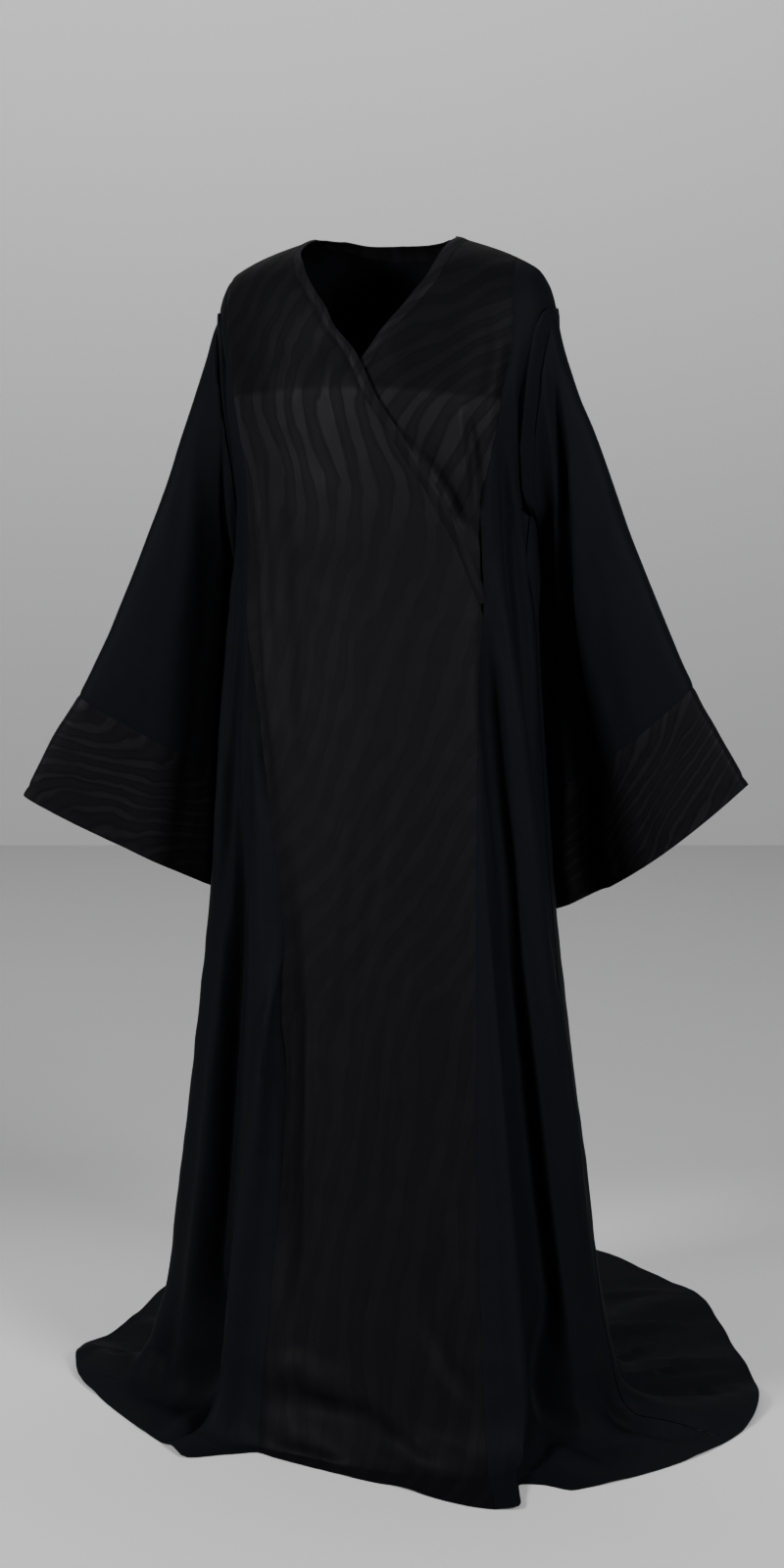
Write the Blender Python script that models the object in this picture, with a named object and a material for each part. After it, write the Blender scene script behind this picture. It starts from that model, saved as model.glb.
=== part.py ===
"""A full-length crossover abaya, kept in the hollow shape it has when worn.

Metres, +Z up, front towards -Y, the wearer's left towards +X. The origin is the middle of the
shoulder line, where the wearer holds the garment; the floor that the hem pools on lies
FLOOR_DROP below it. The cloth is one smooth body surface plus two sleeve surfaces. Each sewn
piece is a wall cut out of such a surface, so neighbours share a seam line and its normals.
"""
import math

import bpy
import numpy as np

# ---- driving sizes -------------------------------------------------------------------------
FLOOR_DROP = 1.470        # shoulder line down to the floor
CLOTH = 0.0020            # thickness of a wall
BAND_CLOTH = 0.0026       # the turned and stitched neck bands are a little thicker
SEAM_GAP = 0.0003         # space between two pieces at a seam
BAND_ACROSS = 0.014       # neck band, measured along a row
TURN_DROP = 1.400         # where the hanging cloth begins to turn on to the floor
TURN_SHARE = 0.40         # share of the floor run that the turn takes
TURN_RUN = 0.055          # how far from the corner the turn ends, at most
NECK_HALF = 0.090         # neck point of the shoulder, from the middle
BACK_NECK_DEPTH = 0.062   # how far behind the shoulder line the back neckline lies
UNDERARM_DROP = 0.325     # bottom of the armhole
SLOPE_FADE = 0.300        # drop at which the shoulders' slope has died away
SHOULDER_LEAN = 0.040     # the wearer's left shoulder sits a little higher
LAP_CLEAR = 0.0030        # how far the crossing front stands off the body surface
TUCK = 0.0020             # how far beneath it the other front lies where it is covered
LAP_END = 0.405           # the crossing edge reaches the left princess seam here
UNDERLAP_END = 0.470      # bottom edge of the front that is tucked beneath
SLEEVE_CLEAR = 0.004      # how far the sleeves keep off the body
SLEEVE_SPREAD = 0.014     # how much further off its outer side keeps
UNDERARM_BULGE = 0.008    # how far the cloth bulges as it leaves the lower armhole
ARM_SHARE = 0.3           # where the arm lies in a sleeve's section, from its outer edge
UNDERARM_SAG = 0.35       # how much lower than halfway the knee of a section lies at the underarm
CUFF_SAG = 0.022          # the lower edge of a sleeve's section hangs this much below straight
CUFF_START = 0.78         # share of the sleeve's length at which the cuff is sewn on

# ---- tables: a row for each section, angles in degrees from the middle of the front --------
BODY_COLUMNS = ("drop", "half_width", "front_depth", "back_depth")
BODY = (
    (0.000, 0.2220, 0.0000, 0.0000),
    (0.003, 0.2220, 0.0220, 0.0240),
    (0.010, 0.2220, 0.0420, 0.0440),
    (0.022, 0.2210, 0.0600, 0.0620),
    (0.045, 0.2190, 0.0800, 0.0800),
    (0.080, 0.2160, 0.0970, 0.0940),
    (0.130, 0.2120, 0.1130, 0.1040),
    (0.175, 0.2080, 0.1280, 0.1080),
    (0.220, 0.2020, 0.1340, 0.1100),
    (0.300, 0.1900, 0.1340, 0.1100),
    (0.360, 0.1880, 0.1320, 0.1120),
    (0.440, 0.1930, 0.1300, 0.1160),
    (0.610, 0.2040, 0.1340, 0.1320),
    (0.790, 0.2170, 0.1420, 0.1500),
    (0.990, 0.2380, 0.1580, 0.1760),
    (1.220, 0.2640, 0.1820, 0.2150),
    (1.400, 0.2860, 0.2050, 0.2500),
    (1.470, 0.2950, 0.2150, 0.2620),
)
SHOULDER_COLUMNS = ("from_middle", "fall")
SHOULDER = (
    (0.000, -0.014),
    (0.060, -0.008),
    (0.090, 0.000),
    (0.190, 0.040),
    (0.205, 0.060),
    (0.216, 0.092),
)
HEM_COLUMNS = ("angle", "reach")
HEM = (
    (-180, 0.632), (-160, 0.600), (-140, 0.548), (-123, 0.508), (-109, 0.448), (-98, 0.430),
    (-91, 0.434), (-86, 0.428), (-76, 0.402), (-68, 0.370), (-52, 0.333), (-37, 0.319),
    (-31, 0.321), (-26, 0.280), (-19, 0.244), (-4, 0.247), (21, 0.283), (40, 0.372),
    (44, 0.384), (50, 0.325), (54, 0.340), (57, 0.372), (60, 0.378), (70, 0.399),
    (82, 0.430), (99, 0.474), (105, 0.481), (125, 0.490), (137, 0.520), (146, 0.554),
    (160, 0.590), (170, 0.625), (180, 0.632),
)
HEM_TURN_COLUMNS = ("angle", "hem_angle")
HEM_TURN = (
    (-180, -180), (-90, -88), (-60, -62), (-40, -42), (-18.7, -19), (0, 0), (20, 21),
    (40.3, 40.4), (55, 55), (90, 92), (180, 180),
)
SEAM_COLUMNS = ("drop", "right_angle", "left_angle")
PRINCESS_SEAM = (
    (0.000, -62.0, 50.0),
    (0.100, -60.0, 57.0),
    (0.155, -54.5, 56.0),
    (0.250, -52.0, 54.5),
    (0.310, -51.5, 53.0),
    (0.405, -54.0, 53.4),
    (0.445, -53.7, 52.5),
    (0.525, -47.0, 49.5),
    (0.580, -42.3, 48.4),
    (0.680, -33.5, 46.6),
    (0.790, -25.5, 45.0),
    (0.965, -21.3, 43.0),
    (1.170, -19.3, 40.8),
    (1.400, -18.7, 40.3),
)
RIGHT_EDGE_COLUMNS = ("drop", "angle")
RIGHT_EDGE = (
    (0.000, -23.6), (0.015, -25.5), (0.035, -22.5), (0.049, -18.6), (0.070, -14.2),
    (0.085, -10.5), (0.107, -6.9), (0.137, 1.6), (0.191, 11.7), (0.228, 19.8),
    (0.259, 26.6), (0.286, 33.0), (0.313, 38.2), (0.359, 47.0), (0.405, 53.4), (0.470, 62.4),
)
LEFT_EDGE_COLUMNS = ("drop", "angle")
LEFT_EDGE = (
    (0.000, 24.8), (0.012, 24.8), (0.028, 24.4), (0.046, 22.0), (0.063, 18.6),
    (0.134, 1.6), (0.200, -9.0), (0.300, -22.0), (0.400, -33.0), (0.470, -38.0),
)
ARMHOLE_COLUMNS = ("drop", "angle")
ARMHOLE = (
    (0.000, 76.0), (0.010, 72.5), (0.045, 68.0), (0.130, 66.0), (0.220, 68.5),
    (0.280, 74.5), (0.308, 80.0), (0.325, 90.0),
)
FOLD_COLUMNS = (
    "name", "angle_high", "angle_low", "angle_hem", "half_high", "half_low",
    "starts", "full_at", "height_high", "height_low", "height_floor",
)
FOLDS = (
    ("left seam ridge", 49.5, 50.5, 43.8, 4.0, 5.5, 0.62, 1.00, 0.010, 0.018, 0.016),
    ("left deep valley", 52.0, 63.5, 54.0, 6.0, 9.0, 0.42, 1.00, -0.014, -0.032, -0.003),
    ("left outer ridge", 57.0, 95.0, 103.0, 8.0, 12.0, 0.36, 0.60, 0.008, 0.014, 0.034),
    ("right outer ridge", -66.0, -75.0, -88.0, 9.0, 12.0, 0.38, 0.80, 0.008, 0.014, 0.036),
    ("right deep valley", -49.0, -42.0, -50.0, 6.5, 9.0, 0.45, 1.00, -0.014, -0.032, -0.004),
    ("right seam ridge", -24.0, -29.0, -34.0, 4.0, 6.0, 0.78, 1.05, 0.010, 0.020, 0.022),
    ("back ridge 1", 118.0, 120.0, 122.0, 8.0, 10.0, 0.55, 1.10, 0.004, 0.014, 0.018),
    ("back valley 1", 135.0, 134.0, 134.0, 8.0, 9.0, 0.45, 1.00, -0.006, -0.024, -0.006),
    ("back ridge 2", 150.0, 148.0, 147.0, 7.0, 9.0, 0.50, 1.05, 0.005, 0.018, 0.022),
    ("back valley 2", 166.0, 166.0, 165.0, 7.0, 9.0, 0.40, 1.00, -0.007, -0.026, -0.006),
    ("back ridge 3", 181.0, 184.0, 185.0, 8.0, 10.0, 0.45, 1.05, 0.005, 0.016, 0.020),
    ("back valley 3", 198.0, 202.0, 203.0, 7.0, 9.0, 0.50, 1.00, -0.006, -0.024, -0.006),
    ("back ridge 4", 215.0, 219.0, 220.0, 7.0, 9.0, 0.45, 1.10, 0.005, 0.018, 0.022),
    ("back valley 4", 231.0, 236.0, 237.0, 8.0, 9.0, 0.50, 1.05, -0.006, -0.022, -0.006),
)
SLEEVE_COLUMNS = (
    "along", "outer_x", "outer_y", "outer_drop", "knee_x", "knee_y",
    "inner_x", "inner_y", "inner_drop", "front_puff", "back_puff",
)
LEFT_SLEEVE = (
    (0.00, 0.216, 0.000, 0.086, 0.205, -0.010, 0.187, 0.020, 0.325, 0.034, 0.036),
    (0.12, 0.240, 0.002, 0.150, 0.222, -0.004, 0.200, 0.030, 0.356, 0.032, 0.034),
    (0.25, 0.269, 0.004, 0.225, 0.228, -0.006, 0.188, 0.060, 0.410, 0.030, 0.030),
    (0.50, 0.315, 0.010, 0.363, 0.236, 0.000, 0.155, 0.112, 0.530, 0.028, 0.028),
    (0.78, 0.386, 0.020, 0.528, 0.268, 0.040, 0.160, 0.128, 0.690, 0.026, 0.026),
    (0.90, 0.416, 0.026, 0.583, 0.284, 0.056, 0.166, 0.136, 0.770, 0.025, 0.025),
    (1.00, 0.452, 0.030, 0.645, 0.304, 0.066, 0.176, 0.143, 0.840, 0.024, 0.024),
)
RIGHT_SLEEVE = (
    (0.00, -0.216, 0.000, 0.101, -0.205, -0.010, -0.187, 0.020, 0.325, 0.034, 0.036),
    (0.12, -0.238, -0.006, 0.165, -0.222, 0.002, -0.200, 0.036, 0.378, 0.032, 0.034),
    (0.25, -0.266, -0.015, 0.248, -0.236, 0.010, -0.206, 0.056, 0.430, 0.030, 0.030),
    (0.50, -0.319, -0.035, 0.400, -0.262, 0.010, -0.212, 0.080, 0.530, 0.028, 0.028),
    (0.78, -0.392, -0.055, 0.567, -0.306, 0.014, -0.218, 0.098, 0.694, 0.026, 0.026),
    (0.90, -0.432, -0.063, 0.628, -0.326, 0.018, -0.222, 0.106, 0.782, 0.025, 0.025),
    (1.00, -0.467, -0.070, 0.697, -0.345, 0.020, -0.228, 0.112, 0.846, 0.024, 0.024),
)

# ---- levels of the rows: a drop while the cloth hangs, then TURN_DROP plus the share of the
# ---- way from the turn to the hem
YOKE_LEVELS = (0.0, 0.004, 0.012, 0.028, 0.052, 0.085, 0.130, 0.180, 0.230, 0.280, 0.308, 0.325)
LAP_LEVELS = (0.365, 0.405, 0.432)
UNDERLAP_LEVELS = YOKE_LEVELS + LAP_LEVELS + (UNDERLAP_END,)
FULL_LEVELS = YOKE_LEVELS + LAP_LEVELS + (
    0.446, 0.520, 0.620, 0.730, 0.850, 0.970, 1.090, 1.200, 1.310,
    TURN_DROP, TURN_DROP + 0.16, TURN_DROP + 0.30, TURN_DROP + 0.42,
    TURN_DROP + 0.62, TURN_DROP + 0.82, TURN_DROP + 1.0,
)
FRONT_SPLIT = 0.446         # the crossing front is one cut piece, kept as two nodes that part here

# ---- how finely each piece is divided
FRONT_COLUMNS = 20
UNDERLAP_COLUMNS = 12
RIGHT_SIDE_COLUMNS = 17
LEFT_SIDE_COLUMNS = 15
BACK_NECK_COLUMNS = 8
BACK_SIDE_COLUMNS = 14
BAND_COLUMNS = 2
SLEEVE_AROUND = 28
SLEEVE_ROWS = (0.0, 0.035, 0.075, 0.12, 0.17, 0.23, 0.30, 0.42, 0.54, 0.66, CUFF_START)
CUFF_ROWS = (CUFF_START, 0.853, 0.926, 1.0)


def column(columns, rows, name):
    place = columns.index(name)
    return np.array([row[place] for row in rows], float)


def curve_through(known_at, known, at):
    """Smooth curve through a table's rows that never overshoots them; level past its ends."""
    step = np.diff(known_at)
    slope = np.diff(known) / step
    product = slope[:-1] * slope[1:]
    total = slope[:-1] + slope[1:]
    steady = product > 0
    inner = np.where(steady, 2 * product / np.where(steady, total, 1.0), 0.0)
    tangent = np.concatenate([[slope[0]], inner, [slope[-1]]])
    at = np.clip(np.asarray(at, float), known_at[0], known_at[-1])
    row = np.clip(np.searchsorted(known_at, at, side="right") - 1, 0, len(step) - 1)
    t = (at - known_at[row]) / step[row]
    rise = known[row + 1] - known[row]
    start = tangent[row] * step[row]
    end = tangent[row + 1] * step[row]
    return known[row] + t * (start + t * (3 * rise - 2 * start - end + t * (start + end - 2 * rise)))


def read(columns, rows, by, name, at):
    return curve_through(column(columns, rows, by), column(columns, rows, name), at)


def ease(share):
    """0 to 1 with a level start and end."""
    share = np.clip(share, 0.0, 1.0)
    return share * share * (3 - 2 * share)


def hanging(angle, drop):
    """The body surface before its folds: a ring at each drop, lifted to follow the shoulders."""
    turn = np.radians(angle)
    width = read(BODY_COLUMNS, BODY, "drop", "half_width", drop)
    front = read(BODY_COLUMNS, BODY, "drop", "front_depth", drop)
    back = read(BODY_COLUMNS, BODY, "drop", "back_depth", drop)
    x = width * np.sin(turn)
    y = -np.cos(turn) * np.where(np.cos(turn) > 0, front, back)
    y = y - np.sign(np.cos(turn)) * SEAM_GAP * (1 - ease(drop / 0.1))
    sloping = 1 - ease(drop / SLOPE_FADE)
    fall = read(SHOULDER_COLUMNS, SHOULDER, "from_middle", "fall", np.abs(x))
    z = -drop - (fall - SHOULDER_LEAN * x) * sloping
    return np.stack([x, y, z], -1)


def plain_body(angle, level):
    """Hanging cloth down to TURN_DROP, then a turn on to the floor and a run out to the hem."""
    angle, level = np.broadcast_arrays(np.asarray(angle, float), np.asarray(level, float))
    angle = (angle + 180) % 360 - 180
    hung = hanging(angle, np.minimum(level, TURN_DROP))
    share = np.clip(level - TURN_DROP, 0.0, 1.0)[..., None]
    corner = hanging(angle, np.full(angle.shape, FLOOR_DROP))
    hem_angle = np.radians(read(HEM_TURN_COLUMNS, HEM_TURN, "angle", "hem_angle", angle))
    reach = read(HEM_COLUMNS, HEM, "angle", "reach", np.degrees(hem_angle))
    hem = np.stack([reach * np.sin(hem_angle), -reach * np.cos(hem_angle), corner[..., 2]], -1)
    run = np.linalg.norm(hem - corner, axis=-1)[..., None]
    landed = corner + (hem - corner) * np.minimum(TURN_RUN / run, 0.6)
    t = np.clip(share / TURN_SHARE, 0.0, 1.0)
    turning = (1 - t) ** 2 * hung + 2 * t * (1 - t) * corner + t ** 2 * landed
    lying = landed + (hem - landed) * np.clip((share - TURN_SHARE) / (1 - TURN_SHARE), 0, 1)
    return np.where(share < TURN_SHARE, turning, lying)


def normals_of(surface, across, along, step_across, step_along):
    d_across = surface(across + step_across, along) - surface(across - step_across, along)
    d_along = surface(across, along + step_along) - surface(across, along - step_along)
    normal = np.cross(d_along, d_across)
    return normal / np.linalg.norm(normal, axis=-1, keepdims=True)


def fold_height(angle, level):
    """How far the folds stand out of the plain body, a valley being less than nothing."""
    drop = np.minimum(level, TURN_DROP)
    to_hem = np.clip(level - TURN_DROP, 0.0, 1.0)
    on_floor = ease(to_hem / TURN_SHARE)
    total = np.zeros(np.broadcast(angle, level).shape)
    for fold in FOLDS:
        row = dict(zip(FOLD_COLUMNS, fold))
        down = np.clip((drop - row["starts"]) / (TURN_DROP - row["starts"]), 0.0, 1.0)
        middle = row["angle_high"] + (row["angle_low"] - row["angle_high"]) * down
        middle = middle + (row["angle_hem"] - row["angle_low"]) * to_hem
        half = row["half_high"] + (row["half_low"] - row["half_high"]) * down
        grown = ease((drop - row["starts"]) / (row["full_at"] - row["starts"]))
        hung = (row["height_high"] + (row["height_low"] - row["height_high"]) * down) * grown
        laid = row["height_floor"] * (1 - 0.7 * to_hem)
        off = (angle - middle + 180) % 360 - 180
        total += (hung + (laid - hung) * on_floor) * np.clip(1 - (off / half) ** 2, 0, 1) ** 2
    return total


def body(angle, level):
    """The body surface with its folds, never lower than the floor allows."""
    angle, level = np.broadcast_arrays(np.asarray(angle, float), np.asarray(level, float))
    level = np.clip(level, 0.0, TURN_DROP + 1.0)
    out = normals_of(plain_body, angle, level, 0.5, 0.0015)
    place = plain_body(angle, level) + out * fold_height(angle, level)[..., None]
    place[..., 2] = np.maximum(place[..., 2], CLOTH / 2 - FLOOR_DROP)
    return place


def body_normals(angle, level):
    return normals_of(body, angle, level, 0.4, 0.0012)


# ---- the lines that the pieces are cut along -----------------------------------------------
def right_seam(level):
    return read(SEAM_COLUMNS, PRINCESS_SEAM, "drop", "right_angle", level)


def left_seam(level):
    return read(SEAM_COLUMNS, PRINCESS_SEAM, "drop", "left_angle", level)


def right_edge(level):
    """Crossing edge of the front that lies on top, run on past the left princess seam."""
    return read(RIGHT_EDGE_COLUMNS, RIGHT_EDGE, "drop", "angle", level)


def left_edge(level):
    """Edge of the front that is tucked beneath."""
    return read(LEFT_EDGE_COLUMNS, LEFT_EDGE, "drop", "angle", level)


def side_line(level):
    """Front edge of the armhole above the underarm, side seam below it."""
    return read(ARMHOLE_COLUMNS, ARMHOLE, "drop", "angle", level)


def across(angle, level, length):
    """The angle that spans a length along a row."""
    one_degree = np.linalg.norm(body(angle + 0.5, level) - body(angle - 0.5, level), axis=-1)
    return length / one_degree


def lap_lift(angle, level):
    """The crossing front stands off the other one until it is sewn into the princess seam."""
    over = ease((angle - left_edge(level) + 16) / 10)
    return LAP_CLEAR * over * (1 - ease((level - LAP_END + 0.065) / 0.065))


def tuck_depth(angle, level):
    """The other front lies deeper wherever the crossing one covers it."""
    covered = ease((right_edge(level) + 14 - angle) / 8)
    return -covered * (TUCK + LAP_CLEAR * ease((level - LAP_END + 0.065) / 0.065))


# ---- walls ---------------------------------------------------------------------------------
def add_solid(name, vertices, faces, material):
    mesh = bpy.data.meshes.new(name)
    mesh.from_pydata([tuple(vertex) for vertex in vertices], [], faces)
    mesh.shade_smooth()
    mesh.set_sharp_from_angle(angle=math.radians(50))
    mesh.materials.append(material)
    piece = bpy.data.objects.new(name, mesh)
    bpy.context.collection.objects.link(piece)
    return piece


def wall(name, points, normals, material, thickness=CLOTH, tube=False):
    """A closed wall round a grid of points; a tube's last column joins its first."""
    rows, columns = points.shape[:2]
    outside = points + normals * thickness / 2
    inside = points - normals * thickness / 2
    for skin in (outside, inside):
        skin[..., 2] = np.maximum(skin[..., 2], -FLOOR_DROP)
    inside[..., 2] = np.minimum(inside[..., 2], outside[..., 2] + thickness)
    vertices = np.concatenate([outside.reshape(-1, 3), inside.reshape(-1, 3)])
    half = rows * columns
    faces = []
    for row in range(rows - 1):
        for col in range(columns if tube else columns - 1):
            right = (col + 1) % columns
            a, b = row * columns + col, row * columns + right
            c, d = (row + 1) * columns + right, (row + 1) * columns + col
            if np.linalg.norm(vertices[a] - vertices[c]) < np.linalg.norm(vertices[b] - vertices[d]):
                corners = ((a, d, c), (a, c, b))
            else:
                corners = ((a, d, b), (b, d, c))
            for face in corners:
                faces.append(face)
                faces.append(tuple(half + corner for corner in reversed(face)))
    top = [col for col in range(columns)]
    bottom = [(rows - 1) * columns + col for col in range(columns)]
    if tube:
        rims = [top + top[:1], (bottom + bottom[:1])[::-1]]
    else:
        last = [row * columns + columns - 1 for row in range(rows)]
        first = [row * columns for row in range(rows)]
        rims = [top + last[1:] + bottom[-2::-1] + first[-2::-1]]
    for rim in rims:
        for a, b in zip(rim, rim[1:]):
            if a < b:
                faces.append((a, b, b + half))
                faces.append((a, b + half, a + half))
            else:
                faces.append((a, b, a + half))
                faces.append((b, b + half, a + half))
    return add_solid(name, vertices, faces, material)


def panel(name, first_line, last_line, levels, columns, material, lift=None, thickness=CLOTH):
    """A piece of the body between two lines, each a function from level to angle."""
    level = np.array(levels)[:, None]
    share = np.linspace(0.0, 1.0, columns + 1)[None, :]
    first = first_line(level)
    last = last_line(level)
    first = first + across(first, level, SEAM_GAP / 2)
    last = last - across(last, level, SEAM_GAP / 2)
    angle = first + (last - first) * share
    level = np.broadcast_to(level, angle.shape)
    points = body(angle, level)
    normals = body_normals(angle, level)
    if lift is not None:
        points = points + normals * lift(angle, level)[..., None]
    return wall(name, points, normals, material, thickness)


def material(name, colour, roughness):
    made = bpy.data.materials.new(name)
    made.use_nodes = True
    shader = made.node_tree.nodes["Principled BSDF"]
    shader.inputs["Base Color"].default_value = (*colour, 1.0)
    shader.inputs["Roughness"].default_value = roughness
    shader.inputs["Metallic"].default_value = 0.0
    return made


# ---- fronts --------------------------------------------------------------------------------
def crossing_limit(level):
    """Where the crossing front ends: at its band, and lower down at the left princess seam."""
    edge = right_edge(level)
    return np.minimum(edge - across(edge, level, BAND_ACROSS), left_seam(level))


def make_fronts(satin, crepe):
    above = [level for level in FULL_LEVELS if level < FRONT_SPLIT] + [FRONT_SPLIT - SEAM_GAP / 2]
    below = [FRONT_SPLIT + SEAM_GAP / 2] + [level for level in FULL_LEVELS if level > FRONT_SPLIT]
    for name, levels in (("front_right_upper", above), ("front_right_lower", below)):
        panel(name, right_seam, crossing_limit, levels, FRONT_COLUMNS, satin, lap_lift)
    panel(
        "neck_band_right", crossing_limit, lambda level: np.minimum(right_edge(level), left_seam(level)),
        YOKE_LEVELS + LAP_LEVELS, BAND_COLUMNS, satin, lap_lift, BAND_CLOTH,
    )

    def band_limit(level):
        edge = left_edge(level)
        return edge + across(edge, level, BAND_ACROSS)

    panel("front_left", band_limit, left_seam, UNDERLAP_LEVELS, UNDERLAP_COLUMNS, satin, tuck_depth)
    panel(
        "neck_band_left", left_edge, band_limit, UNDERLAP_LEVELS, BAND_COLUMNS, satin,
        tuck_depth, BAND_CLOTH,
    )
    panel(
        "side_front_right", lambda level: -side_line(level), right_seam,
        FULL_LEVELS, RIGHT_SIDE_COLUMNS, crepe,
    )
    panel("side_front_left", left_seam, side_line, FULL_LEVELS, LEFT_SIDE_COLUMNS, crepe)


# ---- back ----------------------------------------------------------------------------------
def level_behind(depth):
    """The level at which the middle of the back lies this far behind the shoulder line."""
    return np.interp(depth, column(BODY_COLUMNS, BODY, "back_depth")[:7],
                     column(BODY_COLUMNS, BODY, "drop")[:7])


def yoke_place(x, y):
    """Angle and level of a point of the back yoke that is given from above."""
    level = level_behind(y)
    for _ in range(4):
        width = read(BODY_COLUMNS, BODY, "drop", "half_width", level)
        off_middle = np.arcsin(x / width)
        level = level_behind(y / np.cos(off_middle))
    return 180 - np.degrees(off_middle), level


def make_back(satin, crepe):
    outer_half = NECK_HALF + BAND_ACROSS + SEAM_GAP / 2
    outer_depth = BACK_NECK_DEPTH + BAND_ACROSS + SEAM_GAP / 2
    top_width = BODY[0][BODY_COLUMNS.index("half_width")]
    row = np.array(FULL_LEVELS)[:, None]
    reach = side_line(row) - across(180 - side_line(row), row, SEAM_GAP / 2)
    top_reach = float(reach[0, 0])
    round_neck = np.radians(np.linspace(-90, 90, BACK_NECK_COLUMNS + 1))
    neck_shares = np.degrees(np.arcsin(outer_half * np.sin(round_neck) / top_width)) / top_reach
    shares = np.concatenate([
        np.linspace(-1, neck_shares[0], BACK_SIDE_COLUMNS + 1)[:-1],
        neck_shares,
        np.linspace(neck_shares[-1], 1, BACK_SIDE_COLUMNS + 1)[1:],
    ])[None, :]
    from_middle = top_width * np.sin(np.radians(top_reach * shares))
    behind = outer_depth * np.sqrt(np.clip(1 - (from_middle / outer_half) ** 2, 0, 1))
    neckline_angle, neckline_level = yoke_place(-from_middle, behind)
    near_neck = 1 - ease(row / UNDERARM_DROP)
    angle = 180 + reach * shares + (neckline_angle - 180 - top_reach * shares) * near_neck
    level = row + neckline_level * near_neck
    wall("back", body(angle, level), body_normals(angle, level), crepe)

    turn = -round_neck[None, :]
    out = np.linspace(0, BAND_ACROSS - SEAM_GAP / 2, BAND_COLUMNS + 1)[:, None]
    angle, level = yoke_place((NECK_HALF + out) * np.sin(turn), (BACK_NECK_DEPTH + out) * np.cos(turn))
    wall("neck_band_back", body(angle, level), body_normals(angle, level), satin, BAND_CLOTH)


# ---- sleeves and cuffs ---------------------------------------------------------------------
def sleeve_surface(side, rows):
    """A sleeve is a flat tube whose section bends round the side of the body."""

    def value(name, along):
        return read(SLEEVE_COLUMNS, rows, "along", name, along)

    def spine(share, along):
        """Middle line of a section, from the arm's edge round the knee to the inner fold."""
        outer = np.stack([value("outer_x", along), value("outer_y", along),
                          -value("outer_drop", along)], -1)
        inner = np.stack([value("inner_x", along), value("inner_y", along),
                          -value("inner_drop", along)], -1)
        low = 0.5 + UNDERARM_SAG * (1 - ease(along / 0.6))
        knee_z = outer[..., 2] + (inner[..., 2] - outer[..., 2]) * low - CUFF_SAG * along
        knee = np.stack([value("knee_x", along), value("knee_y", along), knee_z], -1)
        share = share[..., None]
        return (1 - share) ** 2 * outer + 2 * share * (1 - share) * knee + share ** 2 * inner

    def armhole(around):
        """The body's armhole, with the sleeve's first ring just outside it."""
        share = (1 - np.cos(np.radians(around))) / 2
        level = UNDERARM_DROP * share
        angle = side_line(level)
        in_front = -side * np.sin(np.radians(around)) > 0
        place = body(side * np.where(in_front, angle, 180 - angle), level)
        place[..., 0] += side * (0.0018 + 0.0035 * share)
        return place

    def surface(around, along):
        around, along = np.broadcast_arrays(np.asarray(around, float), np.asarray(along, float))
        along = np.clip(along, 0.0, 1.0)
        turn = np.radians(around)
        share = (1 - np.cos(turn)) / 2
        front = -side * np.sin(turn)
        arm = np.full(along.shape, ARM_SHARE)
        down_arm = spine(arm, np.minimum(along + 0.01, 1)) - spine(arm, np.maximum(along - 0.01, 0))
        to_inner = spine(np.minimum(share + 0.01, 1), along) - spine(np.maximum(share - 0.01, 0), along)
        forward = side * np.cross(to_inner, down_arm)
        forward /= np.linalg.norm(forward, axis=-1, keepdims=True)
        front_puff = value("front_puff", along) * (1 - 0.8 * ease(1.3 * share))
        back_puff = -value("back_puff", along) * (1 - 0.65 * ease(share))
        puff = np.where(front > 0, front_puff, back_puff) * np.abs(front) ** 0.6
        free = spine(share, along) + forward * puff[..., None]
        leaving = ease(along / 0.2)[..., None]
        place = armhole(around) * (1 - leaving) + free * leaving
        place[..., 0] += side * UNDERARM_BULGE * share * np.sin(math.pi * np.clip(along / 0.25, 0, 1))
        outward = (1 - np.sign(front) * np.abs(front) ** 0.5) / 2
        away = ease(along / 0.1) * (SLEEVE_CLEAR + SLEEVE_SPREAD * outward)
        return clear_of_body(place, away)

    return surface


def clear_of_body(place, away):
    """Move points out sideways until they keep this far off the body."""
    drop = -place[..., 2]
    depth_column = np.where(place[..., 1] > 0, read(BODY_COLUMNS, BODY, "drop", "back_depth", drop),
                            read(BODY_COLUMNS, BODY, "drop", "front_depth", drop))
    width = read(BODY_COLUMNS, BODY, "drop", "half_width", drop)
    inside = np.hypot(place[..., 0] / (width + away), place[..., 1] / (depth_column + away))
    moved = place.copy()
    moved[..., :2] /= np.where(away > 0, np.minimum(inside, 1.0), 1.0)[..., None]
    return moved


def make_sleeve(name, cuff_name, side, rows, crepe, satin):
    surface = sleeve_surface(side, rows)
    around = np.arange(SLEEVE_AROUND)[None, :] * 360 / SLEEVE_AROUND
    length = np.linalg.norm(surface(0.0, 1.0) - surface(0.0, 0.0))
    gap = SEAM_GAP / 2 / length
    for piece, stations, cloth in ((name, SLEEVE_ROWS, crepe), (cuff_name, CUFF_ROWS, satin)):
        along = np.array(stations)
        along[0] += gap
        along[-1] -= gap
        along = along[:, None]
        points = surface(around, along)
        normals = normals_of(surface, around, along, 4.0, 0.01)
        wall(piece, points, normals, cloth, tube=True)


def main():
    for old in list(bpy.data.objects):
        bpy.data.objects.remove(old, do_unlink=True)
    satin = material("striped satin", (0.014, 0.013, 0.017), 0.42)
    crepe = material("matte crepe", (0.010, 0.011, 0.015), 0.72)
    make_fronts(satin, crepe)
    make_back(satin, crepe)
    make_sleeve("sleeve_left", "cuff_left", 1, LEFT_SLEEVE, crepe, satin)
    make_sleeve("sleeve_right", "cuff_right", -1, RIGHT_SLEEVE, crepe, satin)


main()
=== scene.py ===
import math

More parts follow.
